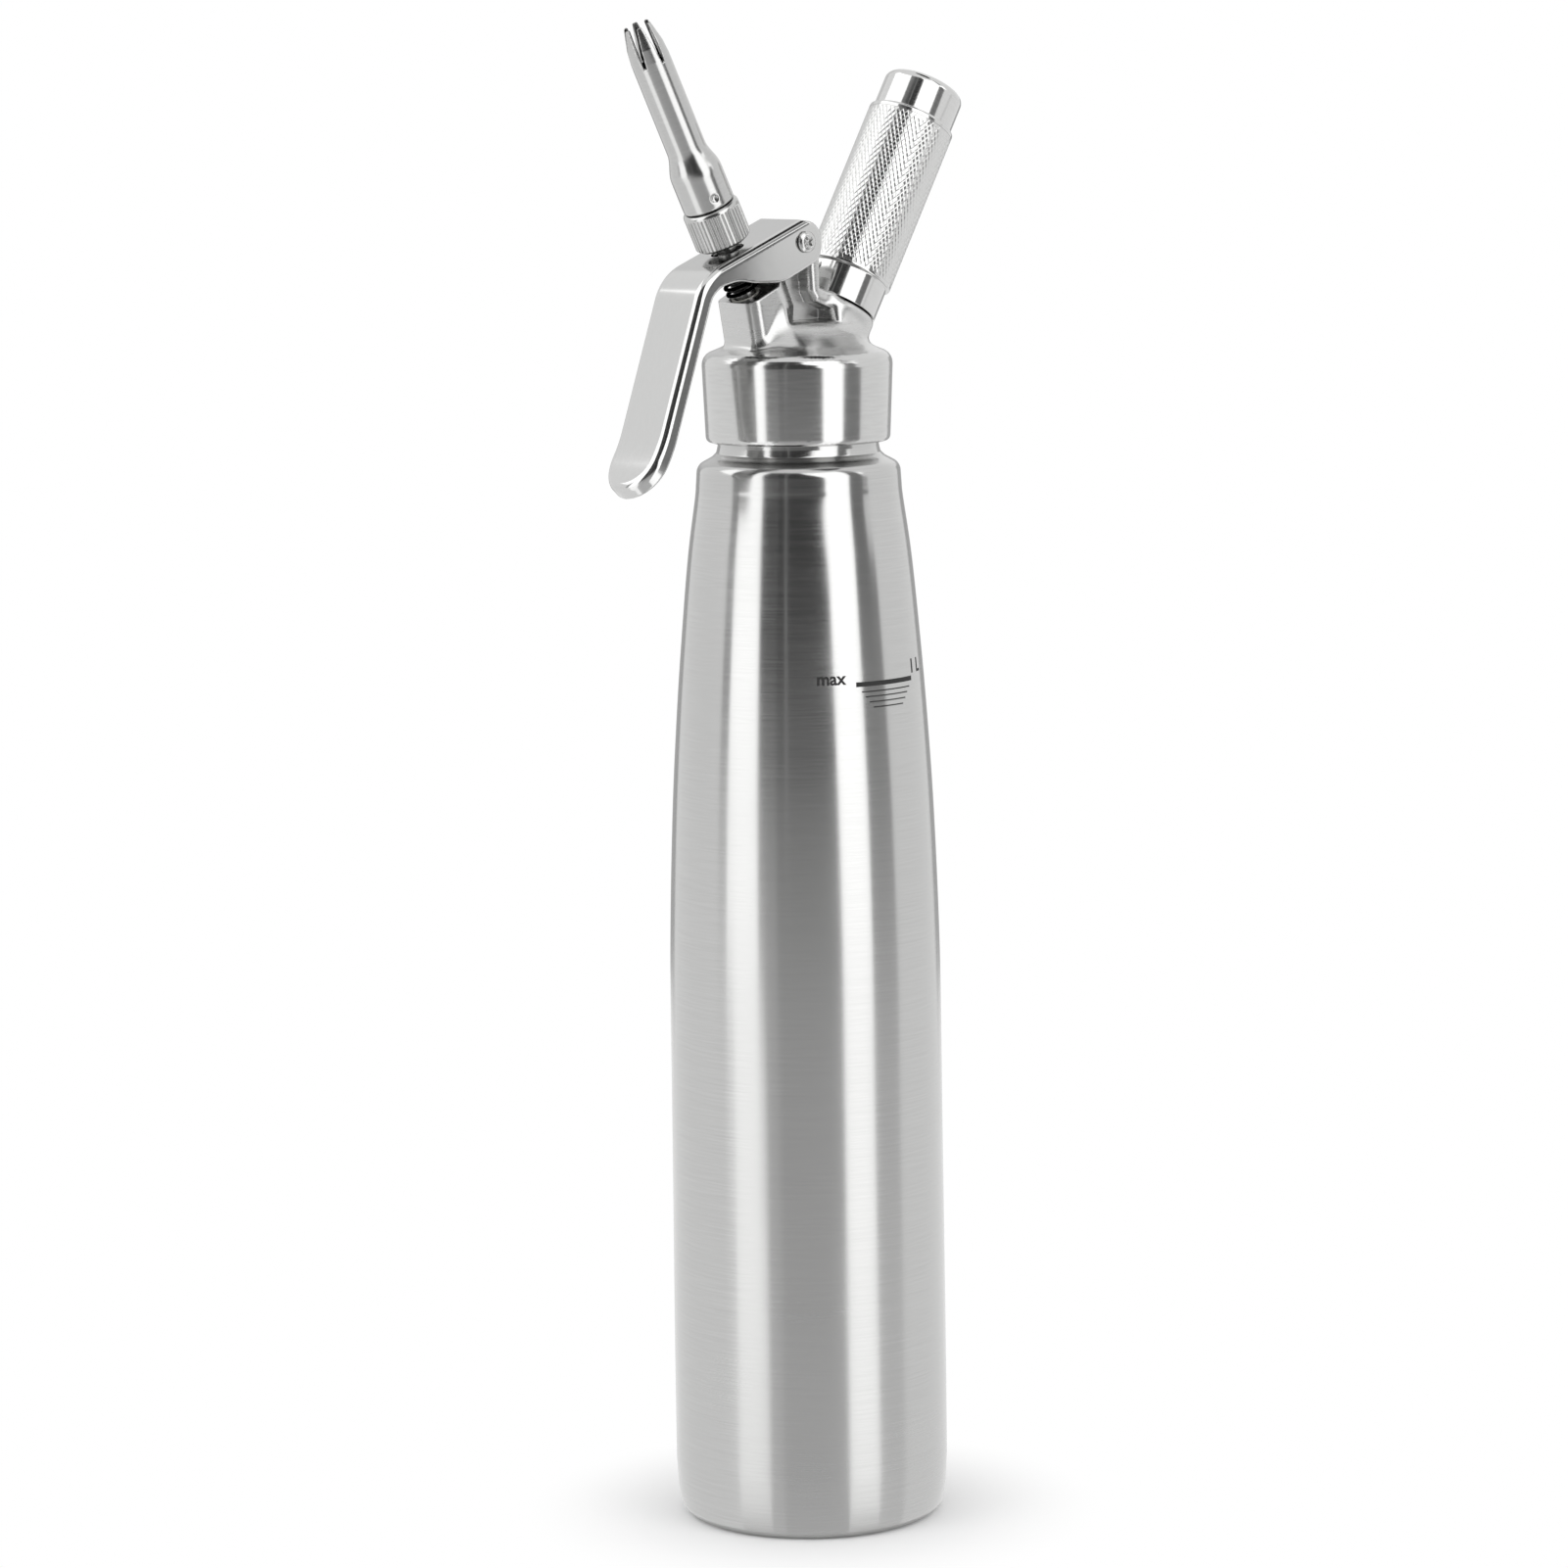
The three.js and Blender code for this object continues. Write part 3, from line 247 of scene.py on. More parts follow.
def split(x, z, start, direction):
    """How far points lie along a direction, and to the right of it."""
    x, z = x - start[0], z - start[1]
    return x * direction[0] + z * direction[1], x * direction[1] - z * direction[0]


def line_frame(x, z, line):
    """Along and across a leaning line."""
    return split(x, z, (0, line[1]), (sin(rad(line[0])), cos(rad(line[0]))))


def surface(field, low, high, cell, mirror=False):
    """A mesh of the field's zero level, with its points and normals taken from the field itself."""
    cell = cell * COARSER
    axes = [l + cell * np.arange(ceil((h - l) / cell) + 1) for l, h in zip(low, high)]
    if mirror:
        axes[1] = cell * (np.arange(ceil(high[1] / cell) + 1) + 0.5)
    value = field(*np.meshgrid(*axes, indexing="ij"))
    if mirror:
        value = np.concatenate([value[:, ::-1], value], 1)
        axes[1] = np.concatenate([-axes[1][::-1], axes[1]])
    inside = value < 0
    room = array(inside.shape) - 1
    corners = sum(inside[i:room[0] + i, j:room[1] + j, k:room[2] + k].astype(np.int8)
                  for i in (0, 1) for j in (0, 1) for k in (0, 1))
    cells = np.argwhere((corners > 0) & (corners < 8))
    index = np.full(corners.shape, -1)
    index[tuple(cells.T)] = np.arange(len(cells))
    total, count, quads = np.zeros((len(cells), 3)), np.zeros(len(cells)), []
    unit = np.eye(3, dtype=int)
    for axis in range(3):
        p, q = [unit[a] for a in range(3) if a != axis]
        for u, v in ((0, 0), (0, 1), (1, 0), (1, 1)):
            a = cells + u * p + v * q
            va, vb = value[tuple(a.T)], value[tuple((a + unit[axis]).T)]
            hit = (va < 0) != (vb < 0)
            t = np.where(hit, va / np.where(hit, va - vb, 1), 0)
            total[hit] += (a + t[:, None] * unit[axis])[hit]
            count[hit] += 1
        edges = np.argwhere(np.diff(inside, axis=axis))
        edges = edges[((edges > 0) & (edges < room) | (unit[axis] > 0)).all(1)]
        quad = np.stack([index[tuple((edges + u * p + v * q).T)]
                         for u, v in ((-1, -1), (0, -1), (0, 0), (-1, 0))], 1)
        flip = inside[tuple(edges.T)] == (axis == 1)
        quad[flip] = quad[flip][:, ::-1]
        quads.append(quad)
    verts = array([a[0] for a in axes]) + cell * total / count[:, None]
    for _ in range(4):
        here = field(*verts.T)
        grad = gradient(field, verts)
        size = maximum((grad ** 2).sum(1), 0.05)
        move = -grad * (here / size)[:, None]
        length = norm(move, axis=1, keepdims=True)
        verts = verts + move * minimum(1, 0.6 * cell / maximum(length, 1e-9))
    return verts, np.concatenate(quads), gradient(field, verts)


def gradient(field, verts, step=0.04):
    out = np.zeros_like(verts)
    for axis in range(3):
        shift = np.zeros(3)
        shift[axis] = step
        out[:, axis] = (field(*(verts + shift).T) - field(*(verts - shift).T)) / (2 * step)
    return out


def placed(turn, axis, x, z):
    return Matrix.Translation((x * MM, 0, z * MM)) @ Matrix.Rotation(rad(turn), 4, axis)


ON_VALVE, ON_CHARGER = [placed(lean, "Y", 0, focus) for lean, focus in (VALVE_LINE, CHARGER_LINE)]


def show(name, data):
    obj = bpy.data.objects.new(name, data)
    bpy.context.scene.collection.objects.link(obj)
    return obj


def piece(name, mesh_data, body, slot, replaced=None, place=None, smooth=True):
    verts, faces, norms = mesh_data
    mesh = bpy.data.meshes.new(name)
    faces = [tuple(int(i) for i in f) for f in faces]
    mesh.from_pydata((np.asarray(verts) * MM).tolist(), [], faces)
    mesh.polygons.foreach_set("use_smooth", [smooth] * len(mesh.polygons))
    if norms is not None:
        size = norm(norms, axis=1, keepdims=True)
        mesh.normals_split_custom_set_from_vertices((norms / maximum(size, 1e-12)).tolist())
    mesh.materials.append(LOOKS[slot])
    obj = show(name, mesh)
    obj.matrix_world = place or Matrix.Identity(4)
    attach(obj, body)
    if replaced:
        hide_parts(replaced)
    return obj


# Materials

def feed(tree, node, inputs):
    """Each input of a node is linked to a socket or set to a constant."""
    for key, value in inputs.items():
        if isinstance(value, bpy.types.NodeSocket):
            tree.links.new(value, node.inputs[key])
        else:
            node.inputs[key].default_value = value
    return node


def made(tree, kind, inputs):
    return feed(tree, tree.nodes.new("ShaderNode" + kind), inputs)


def compute(tree, operation, *values, clamp=False):
    node = made(tree, "Math", dict(enumerate(values)))
    node.operation, node.use_clamp = operation, clamp
    return node.outputs["Value"]


def ranged(tree, value, source, target, smooth=False):
    """A value brought from one range to another."""
    node = made(tree, "MapRange", {
        "Value": value, "From Min": source[0], "From Max": source[1],
        "To Min": target[0], "To Max": target[1]})
    if smooth:
        node.interpolation_type = "SMOOTHSTEP"
    return node.outputs["Result"]


def mix_colors(tree, factor, a, b, blend="MIX"):
    mix = tree.nodes.new("ShaderNodeMix")
    mix.data_type, mix.blend_type = "RGBA", blend
    return feed(tree, mix, {"Factor": factor, "A": a, "B": b}).outputs["Result"]


def coordinates(tree):
    return tree.nodes.new("ShaderNodeTexCoord").outputs["Object"]


def object_level(tree):
    return made(tree, "SeparateXYZ", {0: coordinates(tree)}).outputs["Z"]


def axis_distance(tree, flat=True):
    """Distance from the object's own Z axis, or from its origin."""
    vector = coordinates(tree)
    if flat:
        node = made(tree, "VectorMath", {0: vector, 1: (1, 1, 0)})
        node.operation = "MULTIPLY"
        vector = node.outputs["Vector"]
    node = made(tree, "VectorMath", {0: vector})
    node.operation = "LENGTH"
    return node.outputs["Value"]


def noise(tree, scale, detail=3.0, stretch=(1, 1, 1)):
    size = [scale * s for s in stretch]
    mapping = made(tree, "Mapping", {"Vector": coordinates(tree), "Scale": size})
    node = made(tree, "TexNoise", {
        "Vector": mapping.outputs["Vector"], "Scale": 1.0, "Detail": detail})
    return node.outputs["Fac"]


def spread(tree, value, low, high):
    """Noise brought from its middle range to low and high."""
    return ranged(tree, value, (0.3, 0.7), (low, high))


def mottled(tree, value, color, low, high):
    """A colour that wanders between two shares of itself."""
    return mix_colors(tree, spread(tree, value, 0, 1), [c * low for c in color] + [1],
                      [min(1, c * high) for c in color] + [1])


def bump(tree, height, depth, under=None):
    node = made(tree, "Bump", {"Height": height, "Distance": depth, "Strength": 1.0})
    if under is not None:
        feed(tree, node, {"Normal": under})
    return node.outputs["Normal"]


LOOKS = {}


def new_material(name):
    material = LOOKS[name] = bpy.data.materials.new(name)
    material.use_nodes = True
    tree = material.node_tree
    return tree, tree.nodes["Principled BSDF"]


def steel(name, color, rough, grain=(1, 1, 40), grain_scale=90, grain_depth=2e-6, wave=1.5e-5,
          aniso=None, satin=None, cut=None, tones=(0.96, 1.03), inside=None):
    """Steel: fine grain along one direction, slow waves from polishing, and uneven roughness.

    The colour may be one number for a slightly warm grey. With satin (low, high, more) the steel
    grows rougher by more between two levels. With cut (radius, reach, more) it is rougher by more
    near that distance from its axis. With inside (radius, share) the colour keeps that share
    nearer the axis: painted shade that stands in for the shade inside a bore.
    """
    tree, shader = new_material(name)
    fine, slow = noise(tree, grain_scale, 4.0, grain), noise(tree, 28, 2.0)
    if isinstance(color, float):
        color = color, color, color - 0.005
    tone_and_painted_shade = mottled(tree, fine, color, *tones)
    # Painted shade: nearer the axis the colour is darkened to the given share. This stands in for
    # shade inside a bore; the metal is not darker there.
    if inside:
        radius, share = inside
        near = compute(tree, "LESS_THAN", axis_distance(tree), radius)
        tone_and_painted_shade = mix_colors(tree, near, tone_and_painted_shade, (share, share, share, 1), "MULTIPLY")
    uneven = rough * 0.25
    roughness = compute(tree, "ADD", spread(tree, fine, rough - uneven, rough),
                        spread(tree, slow, 0.0, uneven))
    if satin:
        low, high, more = satin
        roughness = compute(tree, "ADD", roughness,
                            ranged(tree, object_level(tree), (low, high), (0, more)))
    if cut:
        radius, reach, more = cut
        near = compute(tree, "COMPARE", axis_distance(tree), radius, reach)
        roughness = compute(tree, "ADD", roughness, compute(tree, "MULTIPLY", near, more))
    feed(tree, shader, {"Metallic": 1.0, "Base Color": tone_and_painted_shade, "Roughness": roughness,
                        "Normal": bump(tree, fine, grain_depth, bump(tree, slow, wave))})
    if aniso:
        tangent = tree.nodes.new("ShaderNodeTangent")
        tangent.direction_type, tangent.axis = "RADIAL", "Z"
        feed(tree, shader, {"Anisotropic": aniso, "Anisotropic Rotation": 0.25,
                            "Tangent": tangent.outputs["Tangent"]})


def soft(name, color, rough, grain_scale, grain_depth):
    """Rubber, silicone or nylon: slight mottling and a fine matt skin."""
    tree, shader = new_material(name)
    fac = noise(tree, grain_scale)
    feed(tree, shader, {"Base Color": mottled(tree, fac, color, 0.88, 1.1),
                        "Roughness": spread(tree, fac, rough - 0.06, rough + 0.06),
                        "Normal": bump(tree, fac, grain_depth)})


TURNED = dict(grain=(1, 1, 20), grain_scale=200, grain_depth=1e-6, wave=1e-5)
steel("bottle_steel", 0.53, 0.19, (1, 1, 60), 60, 1e-6, 8e-6, aniso=0.75, satin=(0.24, 0.02, 0.06))
steel("head_steel", 0.58, 0.16, (1, 1, 12), 120, 1e-6, 2e-5, satin=(0.331, 0.337, 0.12))
steel("lever_steel", 0.6, 0.11, (1, 8, 1), 400, 1e-7, 1e-5, tones=(0.985, 1.01))
steel("screw_steel", 0.58, 0.2)
steel("valve_steel", 0.34, 0.25, (1, 1, 60), 200)
steel("spring_steel", (0.74, 0.74, 0.73), 0.26)
# Painted shade: within 3.7 mm of the valve axis the nozzle's and the adapter's colour is darkened,
# so their bores and slots look dark.
steel("nozzle_steel", 0.51, 0.18, inside=(0.0037, 0.25), **TURNED)
steel("holder_steel", 0.62, 0.11, cut=(0.012448, 0.00004, 0.06), **TURNED)
steel("charger_steel", (0.5, 0.51, 0.52), 0.35)
steel("valve_brass", (0.62, 0.45, 0.2), 0.25, (1, 1, 60), 200)
soft("red_silicone", (0.5, 0.07, 0.05), 0.5, 400, 1e-5)
soft("black_rubber", (0.012, 0.012, 0.012), 0.7, 600, 1e-5)
soft("white_nylon", (0.75, 0.74, 0.68), 0.45, 500, 6e-6)


# Bottle

def shoulder_arc(inset):
    return arc(SHOULDER_R - SHOULDER_CORNER, SHOULDER_Z - SHOULDER_CORNER / 3,
               SHOULDER_CORNER - inset, spaced(4, SHOULDER_TURN, 10))


def bottle_side(inset):
    knots = [(BOTTLE_R - inset, BASE_RISE)]
    knots += [(BOTTLE_R * r - inset, SHOULDER_Z * z) for r, z in SIDE]
    return catmull([*knots, shoulder_arc(inset)[0]], 12)[:-1]


def foot_arc(inset):
    return arc(FOOT_R - FOOT_CORNER, FOOT_CORNER, FOOT_CORNER - inset, range(-90, 1, 10))


def bottle_profile():
    base_r, inner = BOTTLE_R - 0.45, NECK_R - NECK_WALL
    step_out, step_in = PANEL_R - 0.8, PANEL_R - 1.6
    return rounded([
        (0, 1), (step_in, 1, 1), (step_out, 0, 0.4), *foot_arc(0), (base_r, BASE_RISE / 2, 8),
        *bottle_side(0), *shoulder_arc(0), (24.3, 302.6, 4), (23.1, 303.8, 0.5),
        (NECK_R + 0.34, NECK_BASE, 0.15), (NECK_R, NECK_BASE + 1.5, 0.2), (NECK_R, MOUTH, 0.6),
        (inner, MOUTH, 0.5), (inner, NECK_BASE, 1), (inner + 0.6, NECK_BASE - 2.2, 1),
        *reversed(shoulder_arc(1)), *reversed(bottle_side(1)), (base_r - 1, BASE_RISE / 2, 8),
        *reversed(foot_arc(1)), (step_out, 1, 0.4), (step_in, 2, 1), (0, 2)], 0.2, 5)


piece("bottle", lathe(bottle_profile(), 256), "bottle", "bottle_steel", "bottle_shell")


# Fill mark: five printed lines and two plain captions, wrapped round the bottle

INK, INK_LIFT = 0.03, 0.01
MARK_LINES = [(-103, -66.5, 241.5, 1.3), (-100.2, -69, 239.4, 0.34), (-98.3, -71.2, 238.0, 0.34),
              (-96.2, -73.2, 236.5, 0.34), (-94.2, -75.2, 235.0, 0.34)]
MARK_CAPTIONS = [("max", 4.9, -115.2, 243.3), ("1 L", 5.4, -61.5, 244.6)]


def wrapped(points, turn, level):
    """Points across, up and out of a flat print, laid on the bottle round this turn and level."""
    side = array(bottle_side(0))
    out = []
    for across, up, thick in points:
        r = np.interp(level + up, side[:, 1], side[:, 0])
        a = rad(turn) + across / r
        r = r + INK_LIFT + thick
        out.append((r * cos(a), r * sin(a), level + up))
    return out


def mark_line(start, end, level, width):
    steps, half = 24, width / 2
    section = [(0, -half, 0), (0, half, 0), (0, half, INK), (0, -half, INK)]
    verts = [p for turn in spaced(start, end, steps) for p in wrapped(section, turn, level)]
    return verts, tube_faces(steps, len(section))


def mark_caption(words, size, turn, level):
    curve = bpy.data.curves.new("caption", "FONT")
    curve.body, curve.size, curve.extrude, curve.offset = words, size, INK / 2, 0.12
    curve.align_x = curve.align_y = "CENTER"
    curve.resolution_u = 3
    obj = show("caption", curve)
    flat = obj.evaluated_get(bpy.context.evaluated_depsgraph_get()).to_mesh()
    points = [(v.co.x, v.co.y, v.co.z + INK / 2) for v in flat.vertices]
    faces = [tuple(f.vertices) for f in flat.polygons]
    bpy.data.objects.remove(obj)
    bpy.data.curves.remove(curve)
    return wrapped(points, turn, level), faces


def mark_mesh():
    verts, faces = [], []
    parts = [mark_line(*line) for line in MARK_LINES]
    parts += [mark_caption(*row) for row in MARK_CAPTIONS]
    for points, polygons in parts:
        faces += [tuple(len(verts) + i for i in f) for f in polygons]
        verts += points
    return verts, faces, None


piece("fill_mark", mark_mesh(), "bottle", "black_rubber", smooth=False)


# Head

DOME_R, DOME_Z = SKIRT_R - DOME_CORNER, SKIRT_TOP + DOME_CORNER
HEAD_OUTLINE = rounded([
    (-1, SKIRT_BOTTOM), (SKIRT_R - SKIRT_DRAFT, SKIRT_BOTTOM, 1.5),
    *arc(DOME_R, SKIRT_TOP, DOME_CORNER, range(0, 76, 15)),
    *[(DOME_R * (1 - i / 8), DOME_Z + DOME_RISE * sin(i / 8 * pi / 2)) for i in range(1, 9)],
    (-1, DOME_Z + DOME_RISE)], 0.0, 3)
CLEAR_X = PIVOT_X + LUG_R + EDGE_R + TOUCH
WALL_TOP = line_point(VALVE_LINE, BOSS, -(STEM_HOLE + 0.8 + 0.6))
WALL_FOOT = (WALL_TOP[0] + DOME_CORNER * 0.8, SKIRT_TOP)
WALL_OUTLINE = [
    WALL_FOOT, WALL_TOP, line_point(VALVE_LINE, BOSS, 6.0),
    *arc(PIVOT_X, PIVOT_Z, LUG_R, range(160, -1, -20)),
    (CLEAR_X, PIVOT_Z - LUG_R - SHEET),
    (CLEAR_X, line_point(CHARGER_LINE, PORT, -PORT_FLAT)[1] + TOUCH),
    line_point(CHARGER_LINE, PORT, -PORT_FLAT + 3), line_point(CHARGER_LINE, PORT - STUB_H, 0),
    (0, SKIRT_TOP)]

POCKET_FLOOR = DOME_Z + DOME_RISE + 0.9
POCKET_SLOPE, POCKET_RUN, POCKET_DEPTH = 4.2, 3.2, 0.42
WING = PIVOT_X + LUG_R - SHEET
POCKET_LEFT, POCKET_RIGHT = PIVOT_X - LUG_R + TOUCH, WING + LUG_R + 2 * SHEET
POCKET = [
    (POCKET_LEFT, PIVOT_Z - LUG_R - SHEET), (POCKET_LEFT + TOUCH, PIVOT_Z - 2.6 * LUG_R),
    (POCKET_LEFT + SHEET * 2.2, POCKET_FLOOR + LUG_R), (POCKET_LEFT + SHEET * 2, POCKET_FLOOR),
    (POCKET_RIGHT, POCKET_FLOOR), (POCKET_RIGHT, POCKET_FLOOR + SHEET * 2),
    (WING + LUG_R / 2, POCKET_FLOOR + SHEET * 3.4), (WING + SHEET / 3, POCKET_FLOOR + SHEET * 5.4),
    (WING, PIVOT_Z - LUG_R - SHEET)]
HALF_ROOT_3 = 0.8660254


def pocket_field(x, ay, z):
    """The hollow in each side of the lug, with a sloping left edge."""
    slope = np.clip((ay - (LUG_HALF - POCKET_RUN)) / POCKET_RUN, 0, 1) * POCKET_SLOPE
    side = x + slope * (1 - smooth_step(x, WING - 3, WING))
    return maximum(polygon(side, z, POCKET), LUG_HALF * POCKET_DEPTH - ay)


def wall_field(x, ay, z):
    """The lug and the valve boss in one wall, whose front has two broad round corners."""
    rise = np.subtract(WALL_TOP, WALL_FOOT)
    behind = split(x, z, WALL_FOOT, rise / norm(rise))[1]
    return maximum(corner(polygon(x, z, WALL_OUTLINE), ay - LUG_HALF, LUG_RIM),
                   corner(-behind, ay - LUG_HALF, FRONT_ROUND))


def port_field(across, y, level, r):
    """The charger port: a hexagon below and round above; head_field adds the stub that the holder
    screws on.
    """
    slant = HALF_ROOT_3 * across
    flat = maximum(np.abs(y), maximum(np.abs(0.5 * y + slant), np.abs(0.5 * y - slant)))
    hexagon = maximum(flat - PORT_FLAT, -level)
    return smax(hexagon, corner(r - PORT_CORNER, level - PORT, PORT_ROUND), 0.8)


def head_field(x, y, z):
    r, ay = hypot(x, y), np.abs(y)
    blend = 2.4 + 9.0 * smooth_step(x, -20, -10)
    d = smin(polygon(r, z, HEAD_OUTLINE), wall_field(x, ay, z), blend)
    level, across = line_frame(x, z, CHARGER_LINE)
    pr = hypot(across, y)
    d = smin(d, port_field(across, y, level, pr), 2.4)
    stub = smax(smax(pr - STUB_R, level - PORT - STUB_H, 0.8), PORT - 2 - level, 0.2)
    d = smin(d, stub, 0.3)
    d = smax(d, -pocket_field(x, ay, z), 2.2)
    cavity = minimum(maximum(r - HEAD_BORE, z - GASKET_SEAT), maximum(r - GASKET_INNER, z - ROOF))
    d = smax(d, -cavity, 0.5)
    vl, va = line_frame(x, z, VALVE_LINE)
    vr = hypot(va, y)
    bore = minimum(maximum(vr - STEM_HOLE, -vl), maximum(vr - GUIDE_HOLE, BOSS - GUIDE_DEPTH - vl))
    seat = maximum(vr - SEAT_HOLE, maximum(vl - SEAT, SEAT - STUB_R - vl))
    d = smax(d, -minimum(bore, seat), 0.4)
    socket = minimum(maximum(pr - PORT_HOLE, -level),
                     maximum(pr - PORT_SEAT_HOLE, PORT - SOCKET - level))
    d = smax(d, -socket, 0.4)
    return smax(d, PIN_HOLE - hypot(x - PIVOT_X, z - PIVOT_Z), 0.3)


piece("head", surface(head_field, (-28.5, -28, 305.5), (32, 28, 368.5), 0.5, True),
      "head", "head_steel", "head_casting")


# Lever

PIVOT = array([PIVOT_X, PIVOT_Z])
WEB_DIR = array([-cos(rad(WEB_LEAN)), -sin(rad(WEB_LEAN))])
WEB_NORMAL = array([WEB_DIR[1], -WEB_DIR[0]])
TONGUE_DIR = array([-sin(rad(TONGUE_LEAN)), -cos(rad(TONGUE_LEAN))])
WEB_ORIGIN = PIVOT + WEB_NORMAL * LEVER_TOP
TURN = rad(90 - WEB_LEAN - TONGUE_LEAN)
BEND_REACH = BEND_R * tan(TURN / 2)
BEND_START = WEB_LEN - BEND_REACH
BEND_END = BEND_START + BEND_R * TURN
LEVER_RUN = BEND_END + TONGUE_LEN - BEND_REACH
BEND_CENTRE = WEB_ORIGIN + WEB_DIR * BEND_START - WEB_NORMAL * BEND_R
FLANGE_LINE = array(catmull([
    (-20, FLANGE), (-EAR_R / 3, FLANGE), (EAR_R, FLANGE * 1.02), (2 * EAR_R, FLANGE),
    (3.4 * EAR_R, FLANGE * 0.72), (4.4 * EAR_R, FLANGE * 0.48),
    (BEND_END - BEND_R / 3, FLANGE * 0.38), (BEND_END + BEND_R / 3, TONGUE_FLANGE),
    (LEVER_RUN + 9, TONGUE_FLANGE)], 12))


def lever_coords(x, z):
    """Length along the sheet from the pivot, and depth below its outer face."""
    along, up = split(x, z, BEND_CENTRE, WEB_DIR)
    far_along, far_up = split(x, z, BEND_CENTRE, TONGUE_DIR)
    angle = np.arctan2(along, up)
    web = (angle < 0) | ((along < 0) & (far_along < 0))
    tongue = ~web & (far_along > 0)
    u = np.where(web, BEND_START + along,
                 np.where(tongue, BEND_END + far_along, BEND_START + BEND_R * angle))
    depth = BEND_R - np.where(web, up, np.where(tongue, far_up, hypot(along, up)))
    start = LEVER_RUN - LIP_LEN - BEND_END
    past, over = far_along - start, BEND_R + LIP_R - far_up
    lip = tongue & (past > 0)
    u = np.where(lip, BEND_END + start + LIP_R * np.arctan2(past, over), u)
    return u, np.where(lip, hypot(past, over) - LIP_R, depth)


def lever_field(x, y, z):
    u, depth = lever_coords(x, z)
    half = LEVER_W / 2
    plan = hypot(maximum(u - (LEVER_RUN - half), 0), y) - half
    outer = corner(plan, -depth, EDGE_R)
    d = maximum(outer, -(outer + SHEET))
    d = smax(d, depth - np.interp(u, FLANGE_LINE[:, 0], FLANGE_LINE[:, 1]), 0.7)
    low = WEB_ORIGIN - WEB_DIR * EAR_R / 3 - WEB_NORMAL * FLANGE
    high = PIVOT + (EAR_R, -EAR_R * 0.6)
    back = split(x, z, low, (high - low) / norm(high - low))[1]
    from_pin = hypot(x - PIVOT_X, z - PIVOT_Z)
    round_back = np.where((x > PIVOT_X) & (z > PIVOT_Z), from_pin - EAR_R, x - PIVOT_X - EAR_R)
    d = smax(d, smax(back, round_back, 2.0), 0.7)
    web = maximum(maximum(u + WEB_BACK, np.abs(y) - (half - SHEET)), depth - 3)
    d = smax(d, -web, 0.6)
    vl, va = line_frame(x, z, VALVE_LINE)
    d = smax(d, -maximum(hypot(va, y) - LEVER_HOLE, LEVER_HOLE_LOW - vl), 0.5)
    return smax(d, PIN_HOLE - from_pin, 0.3)


piece("squeeze_lever", surface(lever_field, (-66, -12, 288), (3, 12, 372), 0.42, True),
      "lever", "lever_steel", "lever")


# Lever screw and sleeve nut

SCREW_R, SCREW_H, SHANK = 3.0, 1.3, 1.2
CROSS_ARM, CROSS_HALF, CROSS_DEPTH, CROSS_MIDDLE = 1.75, 0.42, 1.1, 0.75
LEVER_FACE = LEVER_W / 2 + TOUCH
SCREW_TOP = LEVER_FACE + SCREW_H
SCREW_OUTLINE = rounded([
    (-1, -LEVER_W / 4), (SHANK, -LEVER_W / 4, 0.3), (SHANK, LEVER_FACE), (SCREW_R, LEVER_FACE, 0.2),
    (SCREW_R, LEVER_FACE + 0.6, 0.4), (SCREW_R * 0.7, LEVER_FACE + 1.2, 1.2), (0, SCREW_TOP, 0),
    (-1, SCREW_TOP)], 0.1, 3)
NUT_OUTLINE = rounded([
    (0, LEVER_FACE - TOUCH), (1.5, LEVER_FACE - TOUCH), (1.5, TOUCH - LEVER_W / 2),
    (2, TOUCH - LEVER_W / 2), (2, LEVER_FACE), (SCREW_R, LEVER_FACE),
    (SCREW_R, LEVER_FACE + 0.6, 0.4), (SCREW_R * 0.7, LEVER_FACE + 1.1, 1.2),
    (0, LEVER_FACE + 1.2)], 0.12, 4)


def screw_field(x, y, z):
    r = hypot(x, y)
    depth = maximum(SCREW_TOP - z, 0)
    arm, half = CROSS_ARM - 0.8 * depth, CROSS_HALF - 0.08 * depth
    cross = minimum(maximum(np.abs(x) - arm, np.abs(y) - half),
                    maximum(np.abs(y) - arm, np.abs(x) - half))
    cross = maximum(smin(cross, r - CROSS_MIDDLE + 0.3 * depth, 0.3), SCREW_TOP - CROSS_DEPTH - z)
    return smax(polygon(r, z, SCREW_OUTLINE), -cross, 0.15)


piece("pivot_screw", surface(screw_field, (-3.3, -3.3, -5.6), (3.3, 3.3, 12.4), 0.16),
      "head", "screw_steel", "lever_screw", placed(90, "X", *PIVOT) @ placed(38, "Z", 0, 0))
piece("pivot_nut", lathe(NUT_OUTLINE, 64),
      "head", "screw_steel", "lever_sleeve_nut", placed(-90, "X", *PIVOT))


# Valve group, along the valve line

def level_on_valve(height):
    """Level on the valve line where it meets a plane this far over the pivot, square to the web."""
    low, high = [(line_point(VALVE_LINE, level, 0) - PIVOT) @ WEB_NORMAL for level in (0, 1)]
    return (height - low) / (high - low)


